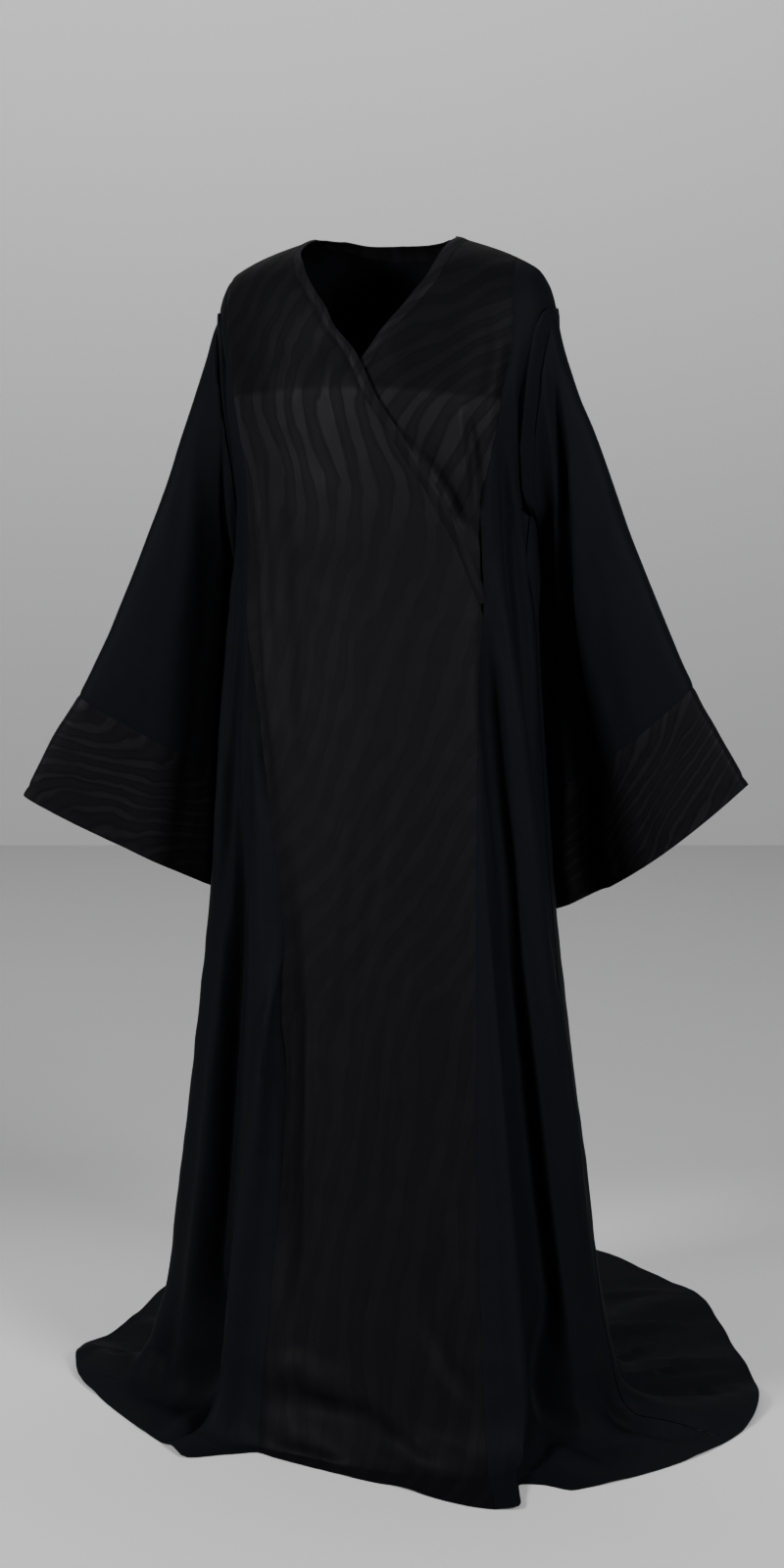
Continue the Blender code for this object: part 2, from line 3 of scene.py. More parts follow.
import bpy
import numpy as np
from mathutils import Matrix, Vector


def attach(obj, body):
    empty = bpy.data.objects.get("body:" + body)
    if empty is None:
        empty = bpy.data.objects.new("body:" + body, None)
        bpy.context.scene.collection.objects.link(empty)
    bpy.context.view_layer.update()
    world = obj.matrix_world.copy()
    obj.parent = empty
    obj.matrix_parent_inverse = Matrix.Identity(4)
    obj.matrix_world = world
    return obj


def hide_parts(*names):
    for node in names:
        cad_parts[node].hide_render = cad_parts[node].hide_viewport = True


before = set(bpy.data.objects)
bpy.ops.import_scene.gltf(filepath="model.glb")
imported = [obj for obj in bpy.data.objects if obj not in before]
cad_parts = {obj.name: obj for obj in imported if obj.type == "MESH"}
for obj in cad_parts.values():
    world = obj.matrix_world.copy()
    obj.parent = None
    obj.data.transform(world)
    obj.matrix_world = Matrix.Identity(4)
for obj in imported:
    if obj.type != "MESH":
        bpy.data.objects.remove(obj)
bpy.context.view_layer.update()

# ---- right front -----------------------------------------
# The wide front panel, one length of black striped satin from the right shoulder to the floor.
# It crosses over the left front and is sewn into the left princess seam below the waist. The
# drape of the whole cloak is set out here, because this panel is the first to be hung on it.
FLOOR = -1.470          # the floor, below the shoulder line
TURN = 1.400            # drop at which the cloth starts to turn on to the floor
AT_HEM = TURN + 1.0     # past TURN a drop counts the share of the floor run, 1 at the hem
TURN_SHARE = 0.40       # share of the floor run that the turn takes
TURN_RUN = 0.055        # reach of the turn along the floor
SHELL = 0.0008          # thickness of the cloth
SLOPE_FADE = 0.3        # the slope of the shoulders dies away by this drop
LEAN = 0.040            # the left shoulder sits higher, by this share of the way out
LAP_END = 0.405         # the crossing edge runs into the princess seam here
LAP_LIFT = 0.003        # the crossing front lies this far over the one beneath
LAP_FADE = 0.065        # and settles into the seam over this last stretch
FOLDS_FACE = np.array((0.34, -0.94, 0.0))  # the deep folds open towards the front
OPENS = 1.4             # how far round the body they do so
SEAM = 0.0003           # sewn pieces lie this far apart
SEAM_DIP = 0.0009       # the stitching draws the cloth in by this much
SEAM_DIP_HALF = 0.0035  # and this far out to each side
CREASE_REACH = 1.6      # a crease has faded out at this many half widths
CREASE_ENDS = 0.35      # it rises over this share of its length, and falls over the same
BAND_WIDTH = 0.014      # the neck bands, from fold to stitching

# drop, half width, depth in front, depth behind
WIDTH, FRONT, BEHIND = 1, 2, 3
BODY = np.array((
    (0.0, 0.222, 0.0, 0.0), (0.003, 0.222, 0.022, 0.024), (0.01, 0.222, 0.042, 0.044),
    (0.022, 0.221, 0.06, 0.062), (0.045, 0.219, 0.08, 0.08), (0.08, 0.216, 0.097, 0.094),
    (0.13, 0.212, 0.113, 0.104), (0.168, 0.2085, 0.1275, 0.1075), (0.18, 0.2075, 0.1305, 0.1083),
    (0.22, 0.202, 0.1318, 0.11), (0.3, 0.19, 0.1325, 0.11), (0.36, 0.188, 0.1315, 0.112),
    (0.44, 0.193, 0.13, 0.116), (0.61, 0.204, 0.134, 0.132), (0.79, 0.217, 0.142, 0.15),
    (0.99, 0.238, 0.158, 0.176), (1.22, 0.264, 0.182, 0.215), (1.4, 0.286, 0.205, 0.25),
    (1.47, 0.295, 0.215, 0.262),
))
# distance from the middle, fall of the shoulder
SHOULDER = np.array((
    (0.0, -0.014), (0.06, -0.008), (0.09, 0.0), (0.19, 0.04), (0.205, 0.06), (0.216, 0.092),
))
# angle round the body, reach of the hem on the floor
HEM = np.array((
    (-180, 0.632), (-160, 0.600), (-140, 0.548), (-123, 0.508), (-109, 0.448), (-98, 0.430),
    (-91, 0.434), (-86, 0.428), (-76, 0.402), (-68, 0.370), (-52, 0.333), (-37, 0.319),
    (-31, 0.321), (-26, 0.280), (-19, 0.244), (-4, 0.247), (21, 0.283), (40, 0.372),
    (44, 0.384), (50, 0.325), (54, 0.340), (57, 0.372), (60, 0.378), (70, 0.399),
    (82, 0.430), (99, 0.474), (105, 0.481), (125, 0.490), (137, 0.520), (146, 0.554),
    (160, 0.590), (170, 0.625), (180, 0.632),
))
# angle where the cloth meets the floor, angle it has at the hem
HEM_TURN = np.array((
    (-180, -180), (-90, -88), (-60, -62), (-40, -42), (-18.7, -19), (0, 0), (20, 21),
    (40.3, 40.4), (55, 55), (90, 92), (180, 180),
))
# angle high up, low down and at the hem, half width high and low in degrees, drop where it
# starts and where it is full, height high, low and on the floor
FLUTES = (
    (49.5, 50.5, 43.8, 4.0, 5.5, 0.62, 1.00, 0.010, 0.020, 0.018),
    (52.0, 63.0, 54.0, 6.0, 11.5, 0.42, 1.00, -0.016, -0.046, -0.003),
    (57.0, 95.0, 103.0, 8.0, 12.0, 0.36, 0.60, 0.008, 0.014, 0.034),
    (-66.0, -76.0, -88.0, 9.0, 13.0, 0.38, 0.80, 0.008, 0.014, 0.036),
    (-49.0, -43.0, -50.0, 7.5, 17.0, 0.45, 0.95, -0.014, -0.066, -0.004),
    (-24.0, -29.0, -34.0, 4.0, 6.0, 0.78, 1.05, 0.010, 0.028, 0.022),
    (118.0, 120.0, 122.0, 8.0, 10.0, 0.55, 1.10, 0.004, 0.014, 0.018),
    (135.0, 134.0, 134.0, 8.0, 9.0, 0.45, 1.00, -0.006, -0.024, -0.006),
    (150.0, 148.0, 147.0, 7.0, 9.0, 0.50, 1.05, 0.005, 0.018, 0.022),
    (166.0, 166.0, 165.0, 7.0, 9.0, 0.40, 1.00, -0.007, -0.026, -0.006),
    (181.0, 184.0, 185.0, 8.0, 10.0, 0.45, 1.05, 0.005, 0.016, 0.020),
    (198.0, 202.0, 203.0, 7.0, 9.0, 0.50, 1.00, -0.006, -0.024, -0.006),
    (215.0, 219.0, 220.0, 7.0, 9.0, 0.45, 1.10, 0.005, 0.018, 0.022),
    (231.0, 236.0, 237.0, 8.0, 9.0, 0.50, 1.05, -0.006, -0.022, -0.006),
)
# each crease: half width and height in millimetres, then drop and angle of the points it
# passes; it is flat at both its ends
CREASES = (
    # right front, long soft break down the skirt, and the buckle where it meets the floor
    (9, -3.5, (0.80, 6), (0.88, 9.5), (1.00, 14), (1.115, 16), (1.18, 22), (1.245, 25), (1.30, 27)),
    (11, -6.5, (1.20, 23), (1.30, 26), (1.35, 31), (1.40, 38), (1.44, 41)),
    (18, 3.0, (1.05, 22), (1.16, 29), (1.26, 33), (1.33, 37)),
    (15, -8.0, (1.44, -23), (1.45, -17), (1.42, -10), (1.44, 0), (1.45, 9), (1.60, 22), (1.80, 31)),
    (17, 7.0, (1.37, -22), (1.375, -16), (1.365, -9), (1.38, 0), (1.37, 8)),
    (15, 5.5, (1.60, -18), (1.56, -10), (1.58, -1), (1.66, 8), (1.76, 16)),
    (12, -5.0, (1.78, -17), (1.74, -8), (1.78, 2), (1.90, 12)),
    (14, 6.0, (1.50, 18), (1.60, 30), (1.66, 38)),
    (22, -17.0, (0.66, -33), (0.76, -26), (0.95, -19), (1.07, -17.5), (1.19, -16), (1.30, -16.5),
     (1.38, -19)),
    (9, 4.0, (0.83, -15), (0.95, -11.5), (1.08, -10), (1.20, -9), (1.30, -9.5)),
    (15, -11.0, (0.32, -49), (0.37, -48), (0.46, -46), (0.56, -41), (0.65, -34), (0.76, -28)),
    (10, 5.0, (0.20, -43), (0.32, -42), (0.44, -39), (0.55, -34), (0.66, -27)),
    (12, -3.0, (0.24, -30), (0.36, -27), (0.52, -24), (0.66, -19)),
    (10, 2.0, (0.50, 10), (0.64, 3), (0.80, -3), (0.98, -5), (1.12, -5)),
    (8, -2.2, (0.56, 22), (0.68, 14), (0.84, 7), (1.00, 4)),
    (8, 1.8, (0.60, 34), (0.74, 27), (0.90, 22), (1.04, 20)),
    (6, -0.8, (1.17, 27), (1.16, 32), (1.15, 39)),
    # left front, pulled towards the gap under the crossing edge
    (9, -9.0, (0.17, 41), (0.22, 45.5), (0.265, 49), (0.315, 51.5), (0.37, 52)),
    (8, 4.0, (0.16, 34), (0.205, 39), (0.255, 42.5), (0.30, 45.5), (0.35, 48.5)),
    (10, 3.0, (0.06, 46), (0.115, 51), (0.195, 50.5), (0.27, 51.5)),
    # left side front: the soft pleats between the princess seam and the sleeve
    (12, -13.0, (0.40, 55), (0.455, 55.5), (0.55, 54.5), (0.645, 56), (0.74, 59), (0.88, 62.5)),
    (12, 9.0, (0.30, 61), (0.40, 62.5), (0.50, 64), (0.60, 66.5), (0.70, 69.5), (0.80, 73.5),
     (0.92, 75.5)),
    (7, -8.0, (0.20, 55.5), (0.25, 60), (0.30, 65), (0.355, 67.5), (0.42, 69), (0.525, 71),
     (0.63, 76.5)),
    (8, 7.0, (0.20, 61), (0.27, 68), (0.315, 73.5), (0.36, 77), (0.455, 80), (0.55, 81), (0.66, 81)),
    (6, 5.0, (0.84, 84), (0.95, 81.5), (1.08, 82.5), (1.18, 83.5), (1.28, 86.5), (1.35, 92)),
    (8, -6.0, (0.86, 89), (1.02, 88), (1.15, 89), (1.28, 95), (1.36, 102)),
    (22, -8.0, (0.0, 102), (0.02, 102), (0.05, 102), (0.09, 98), (0.13, 92)),
    (10, -11.0, (0.06, 67.5), (0.11, 66.5), (0.16, 68), (0.21, 72), (0.26, 78), (0.31, 84), (0.37, 87),
     (0.48, 89)),
    (18, 7.0, (0.29, 103), (0.33, 105), (0.37, 106), (0.41, 106), (0.46, 105)),
    # right side front
    (8, 8.0, (0.28, -62), (0.40, -69), (0.46, -71), (0.57, -70), (0.67, -66), (0.78, -65), (0.90, -64)),
    (7, -9.0, (0.34, -60), (0.50, -60), (0.62, -60), (0.76, -58.5), (0.90, -56)),
    (8, 6.0, (0.50, -51), (0.60, -49), (0.66, -48), (0.74, -45), (0.86, -40)),
    (12, -9.0, (0.06, -67), (0.12, -66.5), (0.18, -69), (0.24, -73), (0.30, -80), (0.36, -88)),
    # the train on the left: its long roll and the wrinkles behind it
    (26, 15.0, (1.30, 84), (1.38, 88), (1.55, 91), (1.72, 92), (1.90, 91), (2.12, 94), (2.30, 99),
     (2.40, 101)),
    (20, -8.0, (1.50, 100), (1.66, 103), (1.90, 104), (2.12, 106), (2.32, 109)),
    (14, 6.0, (1.50, 113), (1.80, 114.5), (2.06, 114), (2.38, 115)),
    (9, 3.5, (1.60, 124), (1.90, 124), (2.20, 121), (2.36, 121)),
    (9, 4.0, (1.70, 145), (1.925, 144), (2.19, 140), (2.36, 136)),
    (9, 4.5, (1.95, 166), (2.15, 158), (2.275, 153), (2.39, 146)),
    (3.5, 8.0, (1.44, 105), (1.70, 107), (2.00, 108), (2.34, 111)),
    (3.0, 6.5, (1.50, 113), (1.80, 117), (2.20, 121)),
    (4.0, 7.0, (1.46, 128), (1.75, 131), (2.10, 136)),
    (14, 7.0, (1.42, 75), (1.55, 80), (1.75, 82), (2.00, 82), (2.30, 84)),
    (16, -5.0, (1.44, 66), (1.60, 71), (1.90, 73), (2.20, 74)),
    (18, 8.0, (1.42, 57), (1.60, 62), (1.90, 64), (2.20, 64), (2.40, 66)),
    # the train on the right: its roll curls up at the corner
    (24, 14.0, (1.30, -69), (1.49, -75), (1.66, -70.5), (1.80, -69), (1.98, -72), (2.26, -79),
     (2.40, -88)),
    (16, -6.0, (1.46, -60), (1.66, -59), (1.90, -60), (2.20, -64)),
    (18, 9.0, (1.40, -44), (1.60, -42.5), (1.90, -38), (2.18, -34)),
    (12, 6.0, (2.22, -92), (2.32, -88), (2.40, -83)),
    (14, -7.0, (1.60, -88), (1.85, -86), (2.10, -88)),
    # the train behind
    (3.5, 7.0, (1.46, -103), (1.70, -106), (2.20, -110)),
    (4.0, 6.0, (1.50, -116), (1.90, -121), (2.25, -127)),
    (16, 8.0, (1.44, -102), (1.70, -106), (2.00, -108), (2.30, -112)),
    (14, 7.0, (1.60, -128), (1.86, -132), (2.12, -133), (2.36, -136)),
    (12, -4.0, (1.55, -118), (1.80, -120), (2.10, -122)),
    (16, 9.0, (1.46, -150), (1.74, -152), (2.04, -158), (2.30, -160)),
    (12, 5.0, (1.90, -146), (2.06, -150), (2.22, -149)),
    (16, 8.0, (1.46, 176), (1.74, 173), (2.06, 176), (2.34, 172)),
    (13, -5.0, (1.50, 165), (1.80, 163), (2.10, 166)),
    (14, 6.0, (1.62, 154), (1.78, 152), (1.94, 154)),
    (13, 5.0, (1.56, -170), (1.90, -171), (2.20, -168)),
    # the back, from the shoulder blades down
    (24, -4.0, (0.10, 150), (0.22, 155), (0.36, 160), (0.50, 164)),
    (24, -4.0, (0.10, -150), (0.24, -154), (0.38, -159), (0.52, -163)),
    (20, 3.0, (0.14, 128), (0.28, 138), (0.44, 146), (0.60, 150)),
    (20, 3.0, (0.14, -128), (0.28, -137), (0.44, -145), (0.60, -149)),
    (14, -3.0, (0.34, 112), (0.50, 116), (0.70, 117), (0.90, 118)),
    (14, -3.0, (0.34, -112), (0.50, -115), (0.70, -118), (0.90, -120)),
    (10, 2.0, (0.60, 172), (0.80, 170), (1.02, 173), (1.22, 172)),
    (10, 2.0, (0.56, -174), (0.78, -172), (1.00, -174), (1.20, -176)),
)
# drop, angle of the right princess seam, angle of the left one
PRINCESS = np.array((
    (0.0, -62.0, 50.0), (0.1, -60.0, 57.0), (0.155, -54.5, 56.0), (0.25, -52.0, 54.5),
    (0.31, -51.5, 53.0), (0.405, -54.0, 53.4), (0.445, -53.7, 52.5), (0.525, -47.0, 49.5),
    (0.58, -42.3, 48.4), (0.68, -33.5, 46.6), (0.79, -25.5, 45.0), (0.965, -21.3, 43.0),
    (1.17, -19.3, 40.8), (1.4, -18.7, 40.3),
))
# drop, angle of the crossing edge
RIGHT_EDGE = np.array((
    (0.0, -23.6), (0.012, -24.4), (0.028, -21.8), (0.046, -19.0), (0.07, -14.2),
    (0.085, -10.5), (0.107, -6.9), (0.137, 1.6), (0.191, 11.7), (0.228, 19.8),
    (0.259, 26.6), (0.286, 33.0), (0.313, 38.2), (0.359, 47.0), (0.405, 53.4), (0.47, 62.4),
))
# drop, angle of the edge tucked beneath
LEFT_EDGE = np.array((
    (0.0, 24.4), (0.012, 23.9), (0.028, 22.8), (0.046, 21.6), (0.063, 18.9), (0.08, 16.0),
    (0.1, 11.8), (0.12, 7.6), (0.146, 3.0), (0.2, -8.0), (0.3, -22.0), (0.4, -33.0),
    (0.47, -38.0),
))


def curve_through(table, place, at):
    """A smooth curve through one column of a table, level past its ends."""
    known_at, known = table[:, 0], table[:, place]
    step = np.diff(known_at)
    slope = np.diff(known) / step
    total = slope[:-1] + slope[1:]
    product = slope[:-1] * slope[1:]
    steady = product > 0
    inner = np.where(steady, 2 * product / np.where(steady, total, 1.0), 0.0)
    tangent = np.concatenate([[slope[0]], inner, [slope[-1]]])
    at = np.clip(np.asarray(at, float), known_at[0], known_at[-1])
    row = np.clip(np.searchsorted(known_at, at, side="right") - 1, 0, len(step) - 1)
    t = (at - known_at[row]) / step[row]
    rise = known[row + 1] - known[row]
    start, end = tangent[row] * step[row], tangent[row + 1] * step[row]
    return known[row] + t * (start + t * (3 * rise - 2 * start - end + t * (start + end - 2 * rise)))


def ease(share):
    """0 to 1 with a soft start and a soft end."""
    share = np.clip(share, 0.0, 1.0)
    return share * share * (3 - 2 * share)


def hanging(angle, drop):
    """The cloth on the shoulders and straight down from them, as if there were no floor."""
    turn = np.radians(angle)
    in_front = np.cos(turn) > 0
    depth = np.where(in_front, curve_through(BODY, FRONT, drop), curve_through(BODY, BEHIND, drop))
    x = curve_through(BODY, WIDTH, drop) * np.sin(turn)
    y = -np.cos(turn) * depth - np.where(in_front, 1, -1) * SEAM * (1 - ease(drop / 0.1))
    fall = curve_through(SHOULDER, 1, np.abs(x))
    return np.stack([x, y, -drop - (fall - LEAN * np.maximum(x, 0)) * (1 - ease(drop / SLOPE_FADE))], -1)


def plain_drape(angle, drop):
    """The cloth without a fold: it hangs to TURN, turns and runs out over the floor."""
    angle, drop = np.broadcast_arrays(np.asarray(angle, float), np.asarray(drop, float))
    angle = (angle + 180) % 360 - 180
    hung = hanging(angle, np.minimum(drop, TURN))
    share = np.clip(drop - TURN, 0.0, 1.0)[..., None]
    corner = hanging(angle, np.full(angle.shape, -FLOOR))
    hem_angle = curve_through(HEM_TURN, 1, angle)
    reach = curve_through(HEM, 1, hem_angle)
    hem_angle = np.radians(hem_angle)
    hem = np.stack([reach * np.sin(hem_angle), -reach * np.cos(hem_angle), corner[..., 2]], -1)
    run = np.linalg.norm(hem - corner, axis=-1)[..., None]
    landed = corner + (hem - corner) * np.minimum(TURN_RUN / run, 0.6)
    t = np.clip(share / TURN_SHARE, 0.0, 1.0)
    turning = (1 - t) ** 2 * hung + 2 * t * (1 - t) * corner + t ** 2 * landed
    lying = landed + (hem - landed) * np.clip((share - TURN_SHARE) / (1 - TURN_SHARE), 0, 1)
    return np.where(share < TURN_SHARE, turning, lying)


def normals_of(surface, first, second, step_first, step_second):
    d_first = surface(first + step_first, second) - surface(first - step_first, second)
    d_second = surface(first, second + step_second) - surface(first, second - step_second)
    normal = np.cross(d_second, d_first)
    return normal / np.maximum(np.linalg.norm(normal, axis=-1, keepdims=True), 1e-12)


def flute_height(angle, drop):
    """How far the long folds stand out of the plain drape."""
    hang = np.minimum(drop, TURN)
    to_hem = np.clip(drop - TURN, 0.0, 1.0)
    landed = ease(to_hem / TURN_SHARE)
    total = np.zeros(np.broadcast(angle, drop).shape)
    for high, low, hem, half_high, half_low, starts, full, up, down, floor in FLUTES:
        share = np.clip((hang - starts) / (TURN - starts), 0, 1)
        middle = high + (low - high) * share + (hem - low) * to_hem
        half = half_high + (half_low - half_high) * share
        hung = (up + (down - up) * share) * ease((hang - starts) / (full - starts))
        laid = floor * (1 - 0.7 * to_hem)
        off = (angle - middle + 180) % 360 - 180
        total += (hung + (laid - hung) * landed) * np.clip(1 - (off / half) ** 2, 0, 1) ** 2
    return total


def fluted(angle, drop):
    """The drape with its long folds: ridges stand out, troughs open towards the front."""
    angle, drop = np.broadcast_arrays(np.asarray(angle, float), np.asarray(drop, float))
    drop = np.clip(drop, 0.0, AT_HEM)
    out = normals_of(plain_drape, angle, drop, 0.5, 0.0015)
    height = flute_height(angle, drop)[..., None]
    opens = np.clip(OPENS * np.cos(np.radians(angle - 20)), 0, 1) * ease((TURN - drop) / 0.12)
    into = out + opens[..., None] * (FOLDS_FACE - out)
    into /= np.linalg.norm(into, axis=-1, keepdims=True)
    place = plain_drape(angle, drop) + out * np.maximum(height, 0) + into * np.minimum(height, 0)
    place[..., 2] = np.maximum(place[..., 2], FLOOR + SHELL)
    return place


def crease_height(place):
    """The creases, as soft ridges and troughs along lines that lie on the fluted cloth."""
    total = np.zeros(place.shape[:-1])
    for half, height, *knots in CREASES:
        drops, angles = np.array(knots, float).T
        fine = np.linspace(0, len(knots) - 1, 4 * len(knots))
        path = fluted(np.interp(fine, range(len(knots)), angles),
                      np.interp(fine, range(len(knots)), drops))
        along = np.concatenate([[0], np.cumsum(np.linalg.norm(np.diff(path, axis=0), axis=1))])
        near = np.full(place.shape[:-1], np.inf)
        at = np.zeros(place.shape[:-1])
        for i in range(len(path) - 1):
            line = path[i + 1] - path[i]
            t = np.clip(((place - path[i]) @ line) / (line @ line), 0, 1)
            away = np.linalg.norm(place - path[i] - t[..., None] * line, axis=-1)
            closer = away < near
            near = np.where(closer, away, near)
            at = np.where(closer, along[i] + t * np.linalg.norm(line), at)
        end = CREASE_ENDS * along[-1]
        body = ease(at / end) * ease((along[-1] - at) / end)
        share_out = near * 1000 / (CREASE_REACH * half)
        total += height / 1000 * body * np.clip(1 - share_out ** 2, 0, 1) ** 2
    return total


def unevenness(place, size, seed):
    """Gentle waves of about the given size, so that no stretch of cloth is perfectly even."""
    steady = np.random.RandomState(seed)
    waves = steady.normal(size=(9, 3)) * (1.0, 1.0, 0.45) * 2 * math.pi / size
    starts = steady.uniform(0, 2 * math.pi, 9)
    return np.sin(place @ waves.T + starts).sum(-1) / 4


def draped(angle, drop):
    """The surface that the panels are cut from, with all its folds, and which way is out."""
    angle, drop = np.broadcast_arrays(np.asarray(angle, float), np.asarray(drop, float))
    place = fluted(angle, drop)
    out = normals_of(fluted, angle, drop, 0.4, 0.0012)
    rise = crease_height(place)
    rise += 0.0011 * unevenness(place, 0.16, 3) + 0.0005 * unevenness(place, 0.05, 5)
    rise *= ease(drop / 0.02)
    place = place + out * rise[..., None]
    return place, out


def right_seam(drop):
    return curve_through(PRINCESS, 1, drop)


def left_seam(drop):
    return curve_through(PRINCESS, 2, drop)


def across(angle, drop, length):
    """The angle that spans a length along a row of the drape."""
    one_degree = np.linalg.norm(fluted(angle + 0.5, drop) - fluted(angle - 0.5, drop), axis=-1)
    return length / one_degree


def right_edge(drop):
    return curve_through(RIGHT_EDGE, 1, drop)


def left_edge(drop):
    return curve_through(LEFT_EDGE, 1, drop)


def gaping(drop):
    """The crossing edge stands a little open for a stretch above the waist."""
    return ease((drop - 0.21) / 0.06) * ease((0.37 - drop) / 0.05)


def lap_lift(angle, drop):
    """How far the crossing front lies over the one beneath."""
    over = ease((angle - left_edge(drop) + 16) / 10)
    open_edge = 0.003 * gaping(drop) * ease((angle - right_edge(drop) + 9) / 9)
    return LAP_LIFT * over * (1 - ease((drop - LAP_END + LAP_FADE) / LAP_FADE)) + open_edge


def cloth_grid(name, columns, rows):
    """A flat piece of cloth with a square mesh, as it comes off the cutting table."""
    bpy.ops.object.select_all(action="DESELECT")
    bpy.ops.mesh.primitive_grid_add(x_subdivisions=columns, y_subdivisions=rows, size=1.0)
    piece = bpy.context.object
    piece.name = name
    piece.data.name = name
    count = len(piece.data.vertices)
    flat = np.empty(count * 3)
    piece.data.vertices.foreach_get("co", flat)
    flat = flat.reshape(-1, 3)
    column = np.rint((flat[:, 0] + 0.5) * columns).astype(int)
    row = np.rint((0.5 - flat[:, 1]) * rows).astype(int)
    return piece, column, row


def lay(name, place, grain, shell, finish, closed=False):
    """Lay a flat grid on its places, write the cut's own measures as a map, give it a shell.
    grain is the share of the width where the straight thread runs down the piece."""
    rows, columns = place.shape[0] - 1, place.shape[1] - 1
    piece, column, row = cloth_grid(name, columns, rows)
    place = place.copy()
    place[..., 2] = np.maximum(place[..., 2], FLOOR + shell / 2 + 0.0002)
    piece.data.vertices.foreach_set("co", place[row, column].ravel())
    width = np.zeros(place.shape[:2])
    width[:, 1:] = np.cumsum(np.linalg.norm(np.diff(place, axis=1), axis=-1), axis=1)
    middle = width[np.arange(rows + 1), np.rint(grain * columns).astype(int)][:, None]
    width = width - middle
    down = np.zeros(rows + 1)
    down[1:] = np.cumsum(np.linalg.norm(np.diff(place, axis=0), axis=-1).mean(1))
    cut = piece.data.uv_layers[0]
    cut.name = "cut"
    vertex = np.empty(len(piece.data.loops), int)
    piece.data.loops.foreach_get("vertex_index", vertex)
    measures = np.stack([width[row, column], down[row]], -1)[vertex]
    cut.data.foreach_set("uv", measures.ravel())
    if closed:
        bpy.ops.object.mode_set(mode="EDIT")
        bpy.ops.mesh.select_all(action="SELECT")
        bpy.ops.mesh.remove_doubles(threshold=0.00002)
        bpy.ops.object.mode_set(mode="OBJECT")
    piece.data.update()
    thicken = piece.modifiers.new("shell", "SOLIDIFY")
    thicken.thickness = shell
    thicken.offset = 0.0
    thicken.use_even_offset = False
    bpy.ops.object.modifier_apply(modifier="shell")
    bpy.ops.object.shade_smooth_by_angle(angle=math.radians(50))
    piece.data.materials.clear()
    piece.data.materials.append(finish)
    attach(piece, "root")
    return piece


def drops_to(last, step=0.0075):
    """The rows of a panel: evenly down the hanging cloth, then out over the floor."""
    hang = np.concatenate([[0.0, 0.0015, 0.004, 0.008, 0.013], np.arange(0.020, min(last, TURN), step)])
    if last < TURN:
        return np.append(hang[hang < last - 0.002], last)
    return np.concatenate([hang[hang < TURN - 0.002], np.linspace(TURN, AT_HEM, 46)])


def pucker(place, from_edge, drop, first, last, height, length):
    """Small gathers that the stitching draws into the cloth beside a seam."""
    wave = np.sin(2 * math.pi * drop / length + 2.4 * unevenness(place, 0.09, 11))
    inside = ease((drop - first) / 0.06) * ease((last - drop) / 0.10)
    return height * inside * np.exp(-from_edge / 0.014) * wave


def body_panel(name, first_line, last_line, drops, columns, finish, lift=None, shell=SHELL,
               puckers=()):
    """A panel of the drape between two seam lines, drawn in a little along both. puckers holds
    rows of gathers: the line they lie along, first and last drop, height and length of one."""
    drop = np.asarray(drops)[:, None]
    first, last = first_line(drop), last_line(drop)
    first = first + across(first, drop, SEAM / 2)
    last = last - across(last, drop, SEAM / 2)
    share = np.linspace(0, 1, columns + 1)[None, :]
    angle = first + (last - first) * share
    drop = np.broadcast_to(drop, angle.shape)
    place, out = draped(angle, drop)
    rise = np.zeros(angle.shape)
    if lift is not None:
        rise += lift(angle, drop)
    span = np.cumsum(np.linalg.norm(np.diff(place, axis=1, prepend=place[:, :1]), axis=-1), axis=1)
    from_first, from_last = span, span[:, -1:] - span
    for from_edge in (from_first, from_last):
        rise -= SEAM_DIP * np.exp(-(from_edge / SEAM_DIP_HALF) ** 2)
    for side, top, bottom, height, length in puckers:
        rise += pucker(place, from_first if side == "first" else from_last, drop,
                       top, bottom, height, length)
    place = place + out * rise[..., None]
    return lay(name, place, 0.5, shell, finish)


class Thread:
    """A value in a finish; arithmetic on it adds the nodes."""

    def __init__(self, finish, socket):
        self.finish = finish
        self.socket = socket

    def maths(self, operation, *values):
        return self.finish.node("ShaderNodeMath", {"operation": operation}, dict(enumerate(values)))

    def __add__(self, other):
        return self.maths("ADD", self, other)

    def __sub__(self, other):
        return self.maths("SUBTRACT", self, other)

    def __rsub__(self, other):
        return self.maths("SUBTRACT", other, self)

    def __mul__(self, other):
        return self.maths("MULTIPLY", self, other)

    __radd__ = __add__


class Finish:
    """A cloth's finish: one material, its shader and the nodes that feed it."""

    def __init__(self, name, **shader):
        self.material = bpy.data.materials.new(name)
        self.material.use_nodes = True
        self.tree = self.material.node_tree
        self.shader = self.tree.nodes["Principled BSDF"]
        for socket, value in shader.items():
            self.shader.inputs[socket.replace("_", " ")].default_value = value

    def node(self, kind, settings, values, out=0):
        made = self.tree.nodes.new(kind)
        for name, value in settings.items():
            setattr(made, name, value)
        for socket, value in values.items():
            self.put(made.inputs[socket], value)
        return Thread(self, made.outputs[out])

    def put(self, socket, value):
        if isinstance(value, Thread):
            self.tree.links.new(value.socket, socket)
        else:
            socket.default_value = value

    def feed(self, socket, value):
        self.put(self.shader.inputs[socket], value)

    def rise(self, value, low, high):
        """0 to 1 as a value goes from low to high."""
        return self.node("ShaderNodeMapRange", {"interpolation_type": "SMOOTHSTEP"},
                         {"Value": value, "From Min": low, "From Max": high})

    def noise(self, where, scale, detail=2.0, roughness=0.5):
        return self.node("ShaderNodeTexNoise", {},
                         {"Vector": where, "Scale": scale, "Detail": detail, "Roughness": roughness})


